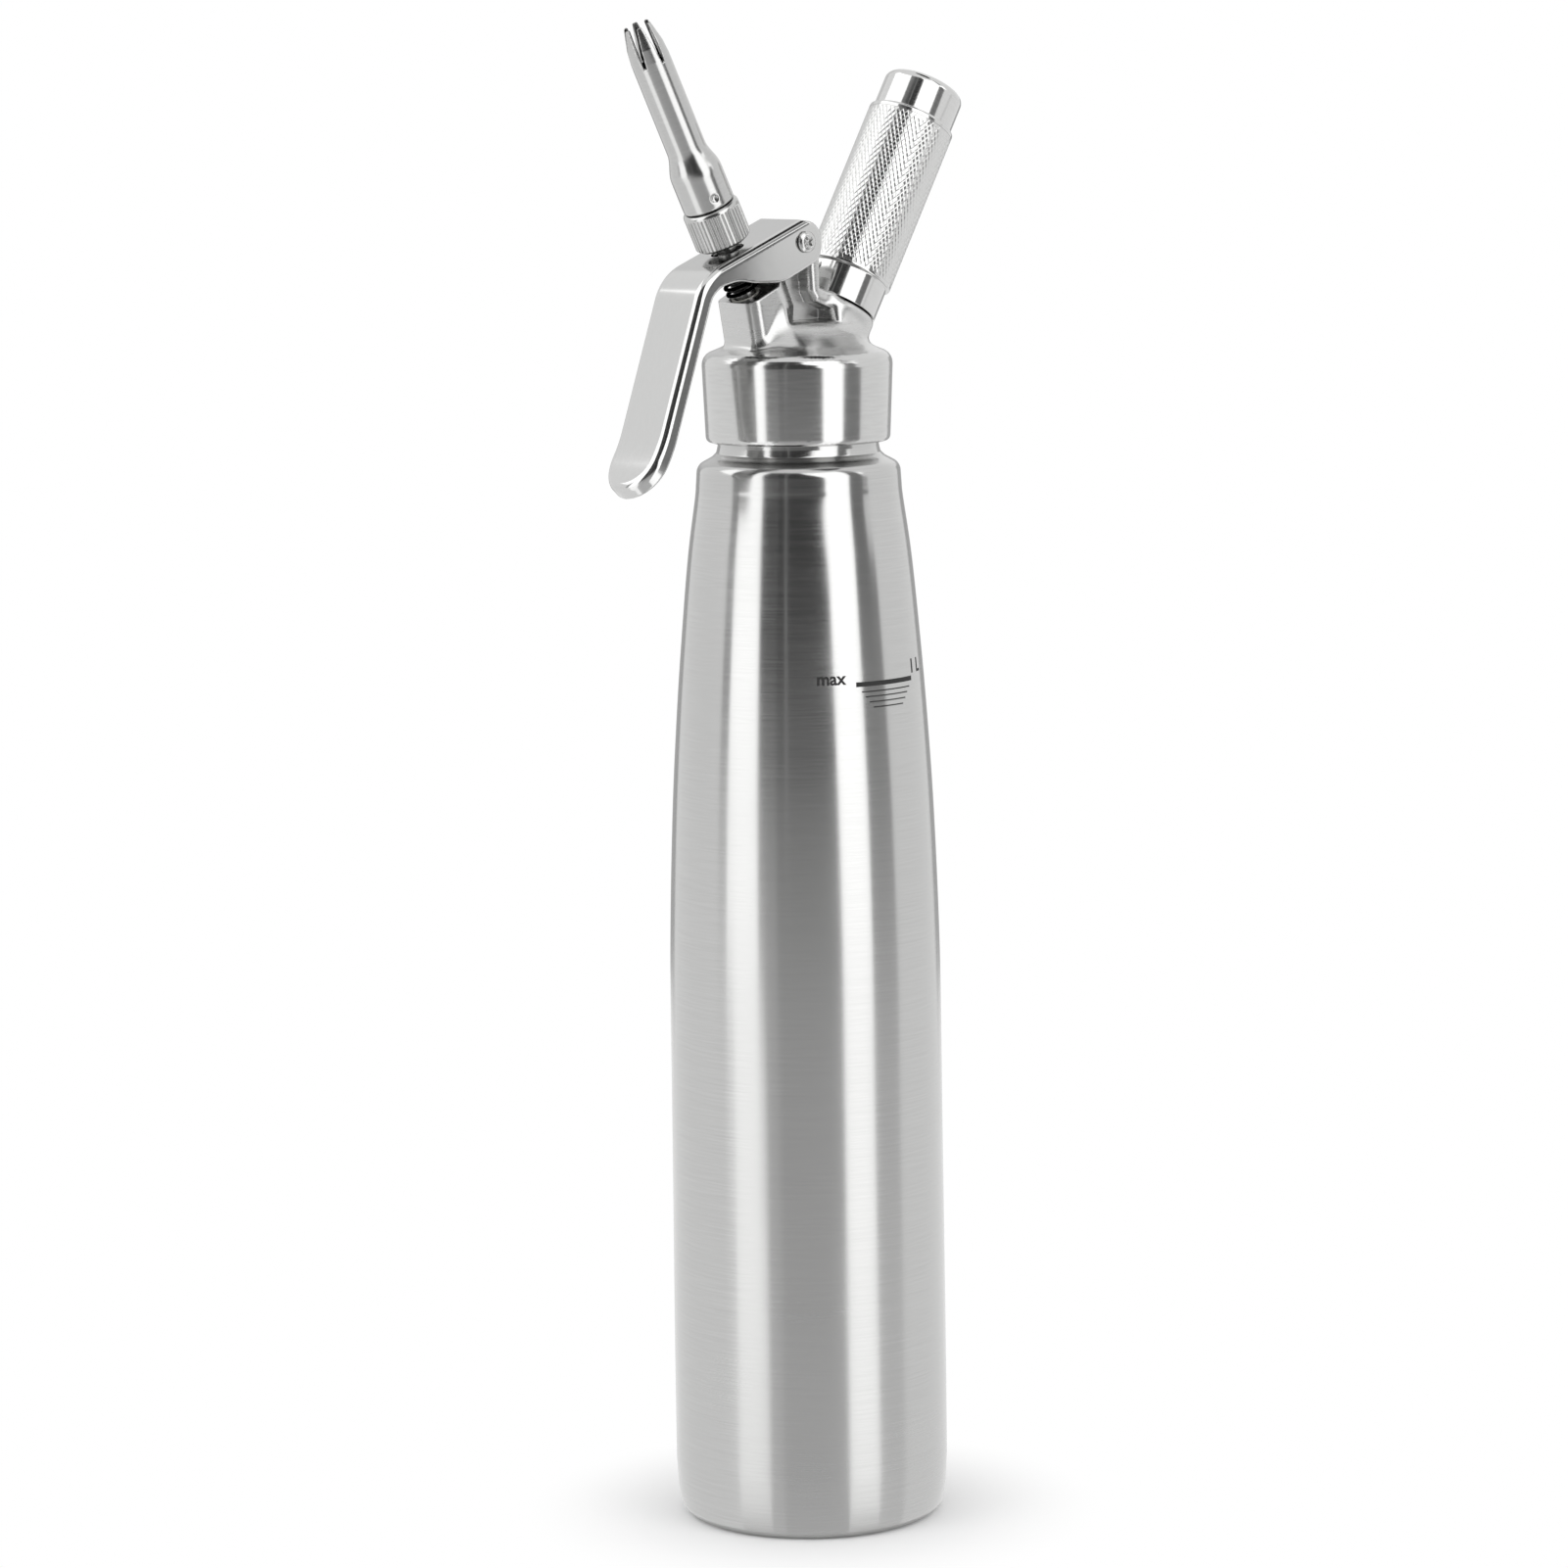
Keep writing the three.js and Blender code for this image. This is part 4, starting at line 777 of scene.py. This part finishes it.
PLATE, SEAL_T, GASKET_T = 1.0, 2.2, 1.2  # thickness of clip and washer, poppet seal, nozzle gasket
CLIP_ROOM, ADAPTER_ROOM = 0.55, 2.2  # under and over the lever's web
WASHER_TOP = level_on_valve(LEVER_TOP - SHEET) - CLIP_ROOM - PLATE - TOUCH
ADAPTER_Z = level_on_valve(LEVER_TOP) + ADAPTER_ROOM
ADAPTER_TOP = ADAPTER_Z + ADAPTER_LEN
NOZZLE_Z, NOZZLE_TOP = ADAPTER_TOP + TOUCH, ADAPTER_TOP + TOUCH + NOZZLE_LEN
SPRING_Z, SPRING_TOP = BOSS + TOUCH, WASHER_TOP - PLATE - TOUCH
SEAL_Z = SEAT - TOUCH - SEAL_T
STEM_RING_Z = BOSS - GUIDE_DEPTH - 1.0 - TOUCH
CLIP_Z = WASHER_TOP + TOUCH
SPIGOT_TOP = ADAPTER_TOP + SPIGOT_LEN
GASKET_Z = SPIGOT_TOP + TOUCH
POPPET_Z, GROOVE, CLIP_TOP = SEAL_Z - TOUCH, STEM_R - 0.8, CLIP_Z + PLATE + TOUCH
STEM_OUTLINE = [
    (-1, POPPET_Z - 2), (POPPET_R - 0.3, POPPET_Z - 2), (POPPET_R, POPPET_Z - 1.7),
    (POPPET_R, POPPET_Z), (STEM_R, POPPET_Z), (STEM_R, STEM_RING_Z - 0.8),
    (GROOVE, STEM_RING_Z - 0.8), (GROOVE, STEM_RING_Z + 0.8), (STEM_R, STEM_RING_Z + 0.8),
    (STEM_R, CLIP_Z - TOUCH), (GROOVE, CLIP_Z - TOUCH), (GROOVE, CLIP_TOP), (STEM_R, CLIP_TOP),
    (STEM_R, ADAPTER_TOP - TOUCH), (STEM_BORE, ADAPTER_TOP - TOUCH), (STEM_BORE, POPPET_Z),
    (-1, POPPET_Z)]


def stem_field(x, y, z):
    level = z - (SEAT + 1.2)
    cross_holes = minimum(hypot(x, level), hypot(y, level)) - 0.9
    return smax(polygon(hypot(x, y), z, STEM_OUTLINE), -cross_holes, 0.2)


def ring(outline, soften=0.15, steps=96):
    return lathe(rounded(outline, soften, 3, True), steps, True)


def band(inner, outer, low, high, *more):
    return ring([(inner, low), (outer, low), (outer, high), (inner, high)], *more)


def clip_field(x, y, z):
    r = hypot(x, y)
    d = maximum(maximum(r - 4.6, 2.5 - r), np.abs(z - CLIP_Z - PLATE / 2) - PLATE / 2)
    return smax(d, minimum(x, 2.0 - np.abs(y)), 0.3)


def spring_mesh():
    """A round wire wound as a helix, its ends closed."""
    steps, sides = int(48 * SPRING_TURNS), 12
    verts, norms = [], []
    for t in spaced(0, 1, steps):
        a = 2 * pi * SPRING_TURNS * t
        out = array([cos(a), sin(a), 0])
        rise = SPRING_Z + SPRING_WIRE / 2 + (SPRING_TOP - SPRING_Z - SPRING_WIRE) * t
        for j in range(sides):
            b = 2 * pi * j / sides
            n = out * cos(b) + (0, 0, sin(b))
            verts.append(out * SPRING_R + (0, 0, rise) + n * SPRING_WIRE / 2)
            norms.append(n)
    return turn_out(array(verts), tube_faces(steps, sides), array(norms))


piece("stem", surface(stem_field, (-4.8, -4.8, 20.6), (4.8, 4.8, 69.4), 0.27),
      "valve", "valve_steel", "valve_stem", ON_VALVE)
piece("poppet_seal", band(STEM_R + TOUCH, 5, SEAL_Z, SEAT - TOUCH, 0.3),
      "valve", "black_rubber", "valve_seal", ON_VALVE)
piece("o_ring", lathe(arc(STEM_R + TOUCH, STEM_RING_Z, 0.5, range(0, 360, 24)), 96, True),
      "valve", "black_rubber", "stem_o_ring", ON_VALVE)
piece("guide_ring", band(STEM_R + TOUCH, GUIDE_HOLE - TOUCH, BOSS - GUIDE_DEPTH + TOUCH, BOSS),
      "head", "white_nylon", "stem_guide", ON_VALVE)
piece("washer", band(STEM_R + TOUCH, 6, WASHER_TOP - PLATE, WASHER_TOP),
      "valve", "valve_steel", "spring_washer", ON_VALVE)
piece("e_clip", surface(clip_field, (-5, -5, CLIP_Z - 0.5), (5, 5, CLIP_Z + 1.5), 0.18),
      "valve", "spring_steel", "retaining_clip", ON_VALVE)
SPRING = piece("return_spring", spring_mesh(), "head", "spring_steel", "valve_spring", ON_VALVE)
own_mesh(SPRING)


def fluted(profile):
    """A closed profile turned about Z, whose third number is the share of the flutes it takes."""
    steps = FLUTES * 14
    angles = np.linspace(0, 2 * pi, steps, endpoint=False)
    from_middle = np.abs(((angles * FLUTES / (2 * pi)) % 1) - 0.5) * 2
    cut = FLUTE_DEPTH * np.clip((from_middle - 0.52) / 0.3, 0, 1)
    verts, faces = [], []
    for i, (r, z, share) in enumerate(profile):
        radius = r - share * cut
        verts.extend(zip(radius * np.cos(angles), radius * np.sin(angles), np.full(steps, z)))
        a, b = i * steps, (i + 1) % len(profile) * steps
        faces.extend((a + j, a + (j + 1) % steps, b + (j + 1) % steps, b + j) for j in range(steps))
    verts, faces, _ = turn_out(array(verts), faces)
    f, norms = array(faces), np.zeros_like(verts)
    cross = np.cross(verts[f[:, 2]] - verts[f[:, 0]], verts[f[:, 3]] - verts[f[:, 1]])
    for k in range(4):
        np.add.at(norms, f[:, k], cross)
    return verts, faces, norms


def adapter_mesh():
    z, top, r, s = ADAPTER_Z, ADAPTER_TOP, ADAPTER_R, SPIGOT_R
    hole, bore = STEM_R + TOUCH, STEM_BORE
    return fluted([
        (hole, z + 2.0, 0), (r - 2.2, z + 2.0, 0), (r - 2.0, z + 1.8, 0), (r - 2.0, z + 0.2, 0),
        (r - 1.8, z, 0), (r - 1.2, z, 0), (r - 0.9, z + 0.1, 0.3), (r - 0.3, z + 0.6, 1),
        (r - 0.05, z + 0.85, 1), (r, z + 1.0, 1), (r, top - 1.9, 1), (r, top - 1.7, 1),
        (r, top - 1.3, 0.15), (r, top - 1.2, 0), (r - 0.05, top - 0.8, 0), (r - 0.3, top - 0.35, 0),
        (r - 0.7, top - 0.08, 0), (r - 1.1, top, 0), (s + 0.1, top, 0), (s, top + 0.1, 0),
        (s, SPIGOT_TOP - 0.4, 0), (s - 0.4, SPIGOT_TOP, 0), (bore + 0.2, SPIGOT_TOP, 0),
        (bore, SPIGOT_TOP - 0.2, 0), (bore, top + 0.1, 0), (bore, top, 0), (hole - 0.1, top, 0),
        (hole, top - 0.1, 0), (hole, z + 2.1, 0)])


piece("adapter", adapter_mesh(), "valve", "nozzle_steel", "nozzle_adapter", ON_VALVE)
piece("tip_gasket", band(STEM_BORE, SPIGOT_R, GASKET_Z, GASKET_Z + GASKET_T, 0.25),
      "nozzle_seal", "black_rubber", "nozzle_gasket", ON_VALVE)


def nozzle_outline():
    foot, tip = NOZZLE_Z + NOZZLE_BASE_LEN, NOZZLE_TOP - NOZZLE_TIP_LEN
    socket, socket_top = SPIGOT_R + TOUCH, GASKET_Z + GASKET_T + TOUCH
    pts = [(socket, NOZZLE_Z, 0.2), (NOZZLE_BASE_R, NOZZLE_Z, 0.5)]
    for i in range(13):
        share = (1 + cos(i / 12 * pi)) / 2
        pts.append((NOZZLE_R + (NOZZLE_BASE_R - NOZZLE_R) * share, foot + NOZZLE_FLARE * i / 12))
    taper = NOZZLE_TIP_R + (NOZZLE_R - NOZZLE_TIP_R) * 0.8
    inner = NOZZLE_R - NOZZLE_WALL
    pts += [(NOZZLE_R, tip, 8), (taper, tip + NOZZLE_TIP_LEN * 0.4, 8),
            (NOZZLE_TIP_R, NOZZLE_TOP, 0.3), (NOZZLE_TIP_R - NOZZLE_WALL, NOZZLE_TOP, 0.3),
            (inner, tip, 8), (inner, socket_top, 0.3), (socket, socket_top, 0.3)]
    return rounded(pts, 0.2, 3, True)


NOZZLE_OUTLINE = nozzle_outline()
DIMPLE_X, DIMPLE_Y = arc(0, 0, NOZZLE_BASE_R + DIMPLE_OUT, [DIMPLE_TURN])[0]


def nozzle_field(x, y, z):
    r = hypot(x, y)
    sector = 2 * pi / SLOTS
    a = np.mod(np.arctan2(y, x), sector) - sector / 2
    rise = z - (NOZZLE_TOP - SLOT_DEPTH)
    half = SLOT_END / 2 + (SLOT_W - SLOT_END) / 2 * rise / SLOT_DEPTH
    d = smax(polygon(r, z, NOZZLE_OUTLINE), -maximum(np.abs(r * np.sin(a)) - half, -rise), 0.35)
    dent = hypot(hypot(x - DIMPLE_X, y - DIMPLE_Y), z - DIMPLE_LEVEL)
    return smax(d, DIMPLE_R - dent, 0.3)


piece("nozzle_tube", surface(nozzle_field, (-7.8, -7.8, NOZZLE_Z - 0.6),
                             (7.8, 7.8, NOZZLE_TOP + 0.6), 0.3),
      "nozzle", "nozzle_steel", "nozzle", ON_VALVE)


# Charger group, along the charger line

HOLDER_Z = PORT + TOUCH
KNURL_Z = HOLDER_Z + COLLAR_LEN
CAP_Z = KNURL_Z + KNURL_LEN
HOLDER_TOP = CAP_Z + CAP_LEN
BAND_LOW, BAND_TOP = KNURL_Z + 0.9, CAP_Z - 1.3
SLEEVE_R = HOLDER_R - 0.9
FLANGE_Z, FLANGE_R, FLANGE_T = PORT - SOCKET + TOUCH, 4.9, 2.0  # of the piercing valve
BULB_SEAL_Z, BULB_SEAL_T = FLANGE_Z + FLANGE_T + TOUCH, 2.0
CHARGER_TIP = BULB_SEAL_Z + BULB_SEAL_T + TOUCH


def holder_outline():
    ceiling, foot = HOLDER_TOP - TOP_WALL, HOLDER_Z - 0.22
    bore, thread = CHARGER_R + TOUCH, STUB_R + 0.4
    return rounded([
        (0, ceiling), (bore, ceiling, 2.4), (bore, PORT + STUB_H + 0.6),
        (thread, PORT + STUB_H + 0.3), (thread, foot, 0.3), (COLLAR_R, foot, 0.12),
        (COLLAR_R, KNURL_Z, 0.3), (HOLDER_R, KNURL_Z, 0.5), (HOLDER_R, BAND_LOW, 0.05),
        (SLEEVE_R, BAND_LOW, 0.05), (SLEEVE_R, BAND_TOP, 0.05), (HOLDER_R, BAND_TOP, 0.05),
        (HOLDER_R, CAP_Z, 0.7), (CAP_R, CAP_Z + 0.2, 0.3), (CAP_R, HOLDER_TOP, CAP_CORNER),
        (0, HOLDER_TOP)], 0.15, 6)


def charger_outline():
    tip, tail, inner, neck = CHARGER_TIP, CHARGER_TIP + CHARGER_LEN, CHARGER_R - 1.6, 2.8
    return rounded([
        (0, tail - 1.6), (inner, tail - 1.6, 3), (inner, tip + 16, 4), (neck, tip + 9, 2),
        (neck, tip + 1.6), (1.3, tip + 1.6), (1.3, tip), (4.4, tip, 0.3), (4.4, tip + 9, 3),
        (6.1, tip + 11.4, 6), (8.7, tip + 14.8, 3), (CHARGER_R, tip + 17.5, 3),
        (CHARGER_R, tail, 4.6), (0, tail)], 0.2, 6)


def piercer_outline():
    z, bore, r, waist = FLANGE_Z, 1.3, 3.5, 2.5
    return [(bore, z - 18), (r, z - 18), (r, z - 17), (waist, z - 17), (waist, z - 12.4),
            (r, z - 12.4), (r, z), (FLANGE_R, z), (FLANGE_R, z + FLANGE_T), (bore, z + FLANGE_T)]


def pin_outline():
    return rounded([(0, FLANGE_Z - 7), (0.9, FLANGE_Z - 7), (0.9, CHARGER_TIP + 0.4),
                    (0.22, CHARGER_TIP + 2.2), (0, CHARGER_TIP + 2.2)], 0.08, 3)


def knurl_mesh():
    """A sleeve cut into flat-topped diamonds, longer along the axis than round it."""
    low, high = BAND_LOW + 0.03, BAND_TOP - 0.03
    rows, count = 2 * round((high - low) / KNURL_PITCH), 2 * KNURL_COUNT
    deep, inner = HOLDER_R - KNURL_DEPTH, SLEEVE_R + 0.02
    index, verts, faces = {}, [], []

    def point(i, j, r):
        a = pi * i / KNURL_COUNT
        verts.append((r * cos(a), r * sin(a), low + j * (high - low) / rows))
        return len(verts) - 1

    def at(i, j, r=deep):
        key = (i % count, j, r)
        if key not in index:
            index[key] = point(i, j, r)
        return index[key]

    for i in range(count):
        for j in range(i % 2, rows + 1, 2):
            if j in (0, rows):
                end = (at(i - 1, j), at(i + 1, j), at(i, 1 if j == 0 else rows - 1))
                faces.append(end if j == 0 else end[::-1])
                continue
            sides = [(-1, 0), (0, -1), (1, 0), (0, 1)]
            base = [at(i + di, j + dj) for di, dj in sides]
            peak = [point(i + di * KNURL_TOP, j + dj * KNURL_TOP, HOLDER_R) for di, dj in sides]
            faces.append(tuple(peak))
            faces += [(base[k - 1], base[k], peak[k], peak[k - 1]) for k in (1, 2, 3, 0)]
    odd = range(1, count, 2)
    for a, b, j in ((0, 2, 0), (2, 0, rows)):
        faces += [(at(i + a, j), at(i + a, j, inner), at(i + b, j, inner), at(i + b, j))
                  for i in odd]
    faces += [(at(i, 0, inner), at(i, rows, inner), at(i + 2, rows, inner), at(i + 2, 0, inner))
              for i in odd]
    return turn_out(array(verts), faces)


def thread_mesh(radius, height, pitch, low, turns):
    """A rounded ridge wound round a cylinder, fading out at both ends."""
    steps = int(72 * turns)
    section = [(-0.42, 0), (-0.3, 0.35), (-0.12, 0.9), (0.12, 0.9), (0.3, 0.35), (0.42, 0)]
    verts = []
    for t in spaced(0, 1, steps):
        a = 2 * pi * turns * t
        grow = height * min(1, t * turns * 6, (1 - t) * turns * 6)
        for dz, h in section:
            r = radius + h * grow - 0.1
            verts.append((r * cos(a), r * sin(a), low + pitch * (turns * t + dz)))
    return turn_out(array(verts), tube_faces(steps, len(section)))


piece("holder", lathe(holder_outline(), 192),
      "charger_holder", "holder_steel", "charger_holder", ON_CHARGER)
piece("holder_knurl", knurl_mesh(),
      "charger_holder", "holder_steel", place=ON_CHARGER, smooth=False)
piece("charger_bulb", lathe(charger_outline(), 96),
      "charger", "charger_steel", "charger", ON_CHARGER)
piece("piercer", ring(piercer_outline()), "head", "valve_brass", "piercing_valve", ON_CHARGER)
piece("check_sleeve", band(2.8, 3.5, FLANGE_Z - 16.7, FLANGE_Z - 12.7),
      "head", "black_rubber", "check_valve_sleeve", ON_CHARGER)
piece("pin", lathe(pin_outline(), 48), "head", "valve_steel", "piercing_pin", ON_CHARGER)
piece("bulb_seal", band(1.2, FLANGE_R, BULB_SEAL_Z, BULB_SEAL_Z + BULB_SEAL_T, 0.3),
      "head", "black_rubber", "charger_seal", ON_CHARGER)
piece("lid_gasket", band(GASKET_INNER, HEAD_BORE - TOUCH, MOUTH + TOUCH, GASKET_SEAT - TOUCH,
                         0.35, 192), "head_seal", "red_silicone", "head_gasket")
piece("neck_thread", thread_mesh(NECK_R, 0.33, 3.0, 308.5, 4.5), "bottle", "bottle_steel")


# Camera at the photograph's place

CAMERA_TURN, CAMERA_YAW, CAMERA_PITCH, CAMERA_ROLL = rad(39), -0.0036, 0.1379, -0.0141
CAMERA_PLACE = Vector((-0.93013, -1.14862, 0.415))
FOCAL_PIXELS, IMAGE_PIXELS, SENSOR = 5393.7, 1601, 36.0
CAMERA_SIDE = Vector((-sin(CAMERA_TURN), -cos(CAMERA_TURN), 0))
CAMERA_RIGHT = Vector((cos(CAMERA_TURN), -sin(CAMERA_TURN), 0))


def turned(a, b, angle):
    """Two square directions turned in their plane, the first towards the second."""
    c, s = cos(angle), sin(angle)
    return a * c + b * s, b * c - a * s


def camera():
    ahead, right = turned(-CAMERA_SIDE, CAMERA_RIGHT, CAMERA_YAW)
    up, ahead = turned(Vector((0, 0, 1)), ahead, CAMERA_PITCH)
    right, up = turned(right, up, CAMERA_ROLL)
    data = bpy.data.cameras.new("camera")
    data.sensor_width = SENSOR
    data.lens = FOCAL_PIXELS * SENSOR / IMAGE_PIXELS
    data.clip_start, data.clip_end = 0.05, 50
    obj = show("camera", data)
    obj.matrix_world = (Matrix.Translation(CAMERA_PLACE)
                        @ Matrix((right, up, -ahead)).transposed().to_4x4())
    bpy.context.scene.camera = obj


camera()


# Studio, in metres

GLOW_REACH, GLOW_MOST = 2.0, 4.0
WALL_BOTTOM = 0.0375
LAMP_REACH, LAMP_Z, LAMP_AIM, LAMP_TALL, LAMP_RADIANCE = 1.3, 0.75, 0.2, 1.4, 2.0


def around(angle, reach, height):
    """A point round the object; the angle runs from the camera's side to the picture's right."""
    a = rad(angle)
    return (CAMERA_SIDE * cos(a) + CAMERA_RIGHT * sin(a)) * reach + Vector((0, 0, height))


def plain_material(name, grey):
    tree, shader = new_material(name)
    feed(tree, shader, {"Base Color": mottled(tree, noise(tree, 3.0, 2.0), [grey] * 3, 0.99, 1),
                        "Roughness": 0.9, "Specular IOR Level": 0.0})
    return tree, shader


def glow_material(name, stops, radial):
    """A card that glows by its height, or by its distance from the origin."""
    tree, shader = plain_material(name, 0.02)
    place = axis_distance(tree, False) if radial else object_level(tree)
    ramp = made(tree, "ValToRGB", {"Fac": compute(tree, "DIVIDE", place, GLOW_REACH)})
    marks = ramp.color_ramp.elements
    while len(marks) < len(stops):
        marks.new(0.5)
    while len(marks) > len(stops):
        marks.remove(marks[-1])
    for mark, (where, glow) in zip(marks, stops):
        mark.position = where / GLOW_REACH
        mark.color = [glow / GLOW_MOST] * 3 + [1]
    feed(tree, shader, {"Emission Color": ramp.outputs["Color"], "Emission Strength": GLOW_MOST})


def stage_piece(name, verts, faces, look):
    mesh = bpy.data.meshes.new(name)
    mesh.from_pydata(verts, [], faces)
    mesh.materials.append(LOOKS[look])
    obj = show(name, mesh)
    return obj


def ray(tree, kind):
    return made(tree, "LightPath", {}).outputs["Is " + kind + " Ray"]


def floor():
    """A pale floor that keeps the shadow close to the bottle and is white beyond it."""
    tree, shader = plain_material("floor_white", 0.9)
    far = ranged(tree, axis_distance(tree, False), (0.02, 0.085), (0, 1), smooth=True)
    white = made(tree, "Emission", {"Color": (1, 1, 1, 1)})
    seen = compute(tree, "MULTIPLY", ray(tree, "Camera"), far)
    mixed = made(tree, "MixShader", {
        0: seen, 1: shader.outputs["BSDF"], 2: white.outputs["Emission"]})
    feed(tree, tree.nodes["Material Output"], {"Surface": mixed.outputs["Shader"]})
    h = 6.0
    stage_piece("floor", [(-h, -h, 0), (h, -h, 0), (h, h, 0), (-h, h, 0)], [(0, 1, 2, 3)],
                "floor_white")


def reflection_only(name, rows, stops, radial=False):
    """A surface through rows of points that glows and that only reflections see."""
    n = len(rows[0])
    verts = [point for row in rows for point in row]
    faces = [(k + i, k + i + 1, k + n + i + 1, k + n + i)
             for k in range(0, len(verts) - n, n) for i in range(n - 1)]
    glow_material(name, stops, radial)
    obj = stage_piece(name, verts, faces, name)
    obj.visible_camera = obj.visible_diffuse = obj.visible_shadow = obj.visible_transmission = False


def card(name, reach, levels, stops):
    """A curved reflector or flag round the object; levels are (height, start, end)."""
    reflection_only(name, [[around(a, reach, height) for a in spaced(start, end, 16)]
                           for height, start, end in levels], stops)


def apron(name, start, end, stops, reach=1.35):
    """Part of the floor: its sides run where the bottle's own reflections run."""
    angles = spaced(start, end, max(2, int((end - start) / 4)))
    inner = [around(a / 2, WALL_BOTTOM, 0.0006) for a in angles]
    outer = [point + around(a, reach, 0) for point, a in zip(inner, angles)]
    reflection_only(name, [inner, outer], stops, True)


def lamp(name, angle, width):
    data = bpy.data.lights.new(name, "AREA")
    data.shape = "RECTANGLE"
    data.size, data.size_y = width, LAMP_TALL
    data.energy = LAMP_RADIANCE * pi * width * LAMP_TALL
    obj = show(name, data)
    obj.location = around(angle, LAMP_REACH, LAMP_Z)
    aim = Vector((0, 0, LAMP_AIM)) - obj.location
    obj.rotation_euler = aim.to_track_quat("-Z", "Y").to_euler()
    obj.visible_glossy = False


def world():
    """White to the camera, to glossy rays and through glass, and grey as a light."""
    studio = bpy.data.worlds.new("studio")
    bpy.context.scene.world = studio
    studio.use_nodes = True
    tree = studio.node_tree
    seen = ray(tree, "Camera")
    for kind in ("Glossy", "Transmission"):
        seen = compute(tree, "ADD", seen, ray(tree, kind), clamp=True)
    feed(tree, tree.nodes["Background"], {
        "Color": (1, 1, 1, 1), "Strength": ranged(tree, seen, (0, 1), (0.75, 1.0))})


floor()
world()
lamp("softbox_left", -57, 0.745)
lamp("softbox_right", 48.5, 0.67)
DARK = [(0, 0.5), (0.13, 0.38), (0.2, 0.17), (0.284, 0.07), (0.353, 0.035), (0.6, 0.03),
        (1.25, 0.03), (1.6, 0.3)]
HALF_DARK = [(z, g * 1.3 + 0.03) for z, g in DARK]
card("flag_front", 0.9, [(0, -23, 32), (0.35, -23, 29), (0.6, -24, 21), (0.85, -26, 14),
                         (1.0, -27, 9), (1.6, -27, 0)], DARK)
card("flag_front_side", 0.9, [(0, -39, -23), (0.35, -40, -23), (0.9, -43, -26), (1.6, -43, -27)],
     HALF_DARK)
card("flag_front_line", 0.88, [(0.2, -14.8, -13.2), (1.6, -14.8, -13.2)], [(0, 0.5), (0.35, 0.4)])
card("white_right", 1.0, [(0, 10, 61), (0.25, 10, 60), (0.35, 10, 58.5), (1.6, -5, 58.5)],
     [(0, 1.8), (0.3, 2.0)])
card("white_left", 1.0, [(0, -69, -30), (0.45, -69, -30), (0.9, -115, -25), (1.6, -120, -20)],
     [(0, 1.7), (0.3, 1.85)])
card("flag_left", 0.9, [(0.1, -78, -69), (0.6, -78, -69)], [(0, 0.9), (0.13, 0.8), (0.25, 0.4)])
card("flag_right", 0.3, [(0, 56, 80), (0.3, 55.5, 80), (0.31, 56, 73), (0.5, 57, 71)],
     [(0, 0.78), (0.12, 0.58), (0.2, 0.36), (0.3, 0.2)])
card("white_edge", 1.0, [(0.62, 61, 80), (0.95, 61, 80)], [(0, 1.9)])
card("flag_right_high", 0.9, [(0.95, 62, 75), (1.6, 62, 75)], [(0, 0.35)])
card("edge_left", 0.9, [(0, -179, -147), (1.0, -179, -147)],
     [(0, 0.45), (0.36, 0.45), (0.5, 0.7), (1.0, 0.8)])
card("edge_right", 0.9, [(0, 147, 179), (0.45, 147, 179)], [(0, 0.45)])
apron("floor_front", -23, 32, [(0, 0.7), (0.06, 0.64), (0.35, 0.6), (0.75, 0.5), (1.3, 0.4)])
apron("floor_front_side", -35, -23, [(0, 0.75), (0.35, 0.68), (0.75, 0.6), (1.3, 0.5)])
apron("floor_white_left", -64, -35, [(0.038, 0.8), (0.06, 1.2), (0.12, 1.35), (0.4, 1.5)])
apron("floor_white_right", 32, 60, [(0.038, 0.8), (0.06, 1.3), (0.12, 1.5), (0.4, 1.65)])
apron("floor_right", 60, 86, [(0, 0.82), (0.5, 0.7), (1.3, 0.8), (2.0, 0.95)], 5.5)
apron("floor_far_right", 86, 180, [(0, 0.95), (0.5, 0.97)], 5.5)
apron("floor_far_left", -180, -64, [(0, 0.95), (0.5, 0.97)], 5.5)
reflection_only("ceiling_flag", [[around(a, reach, 2.0) for a in spaced(60, 170, 12)]
                                 for reach in (0.2, 0.8)], [(0, 0.02)])

scene = bpy.context.scene
scene.view_settings.view_transform = "Standard"
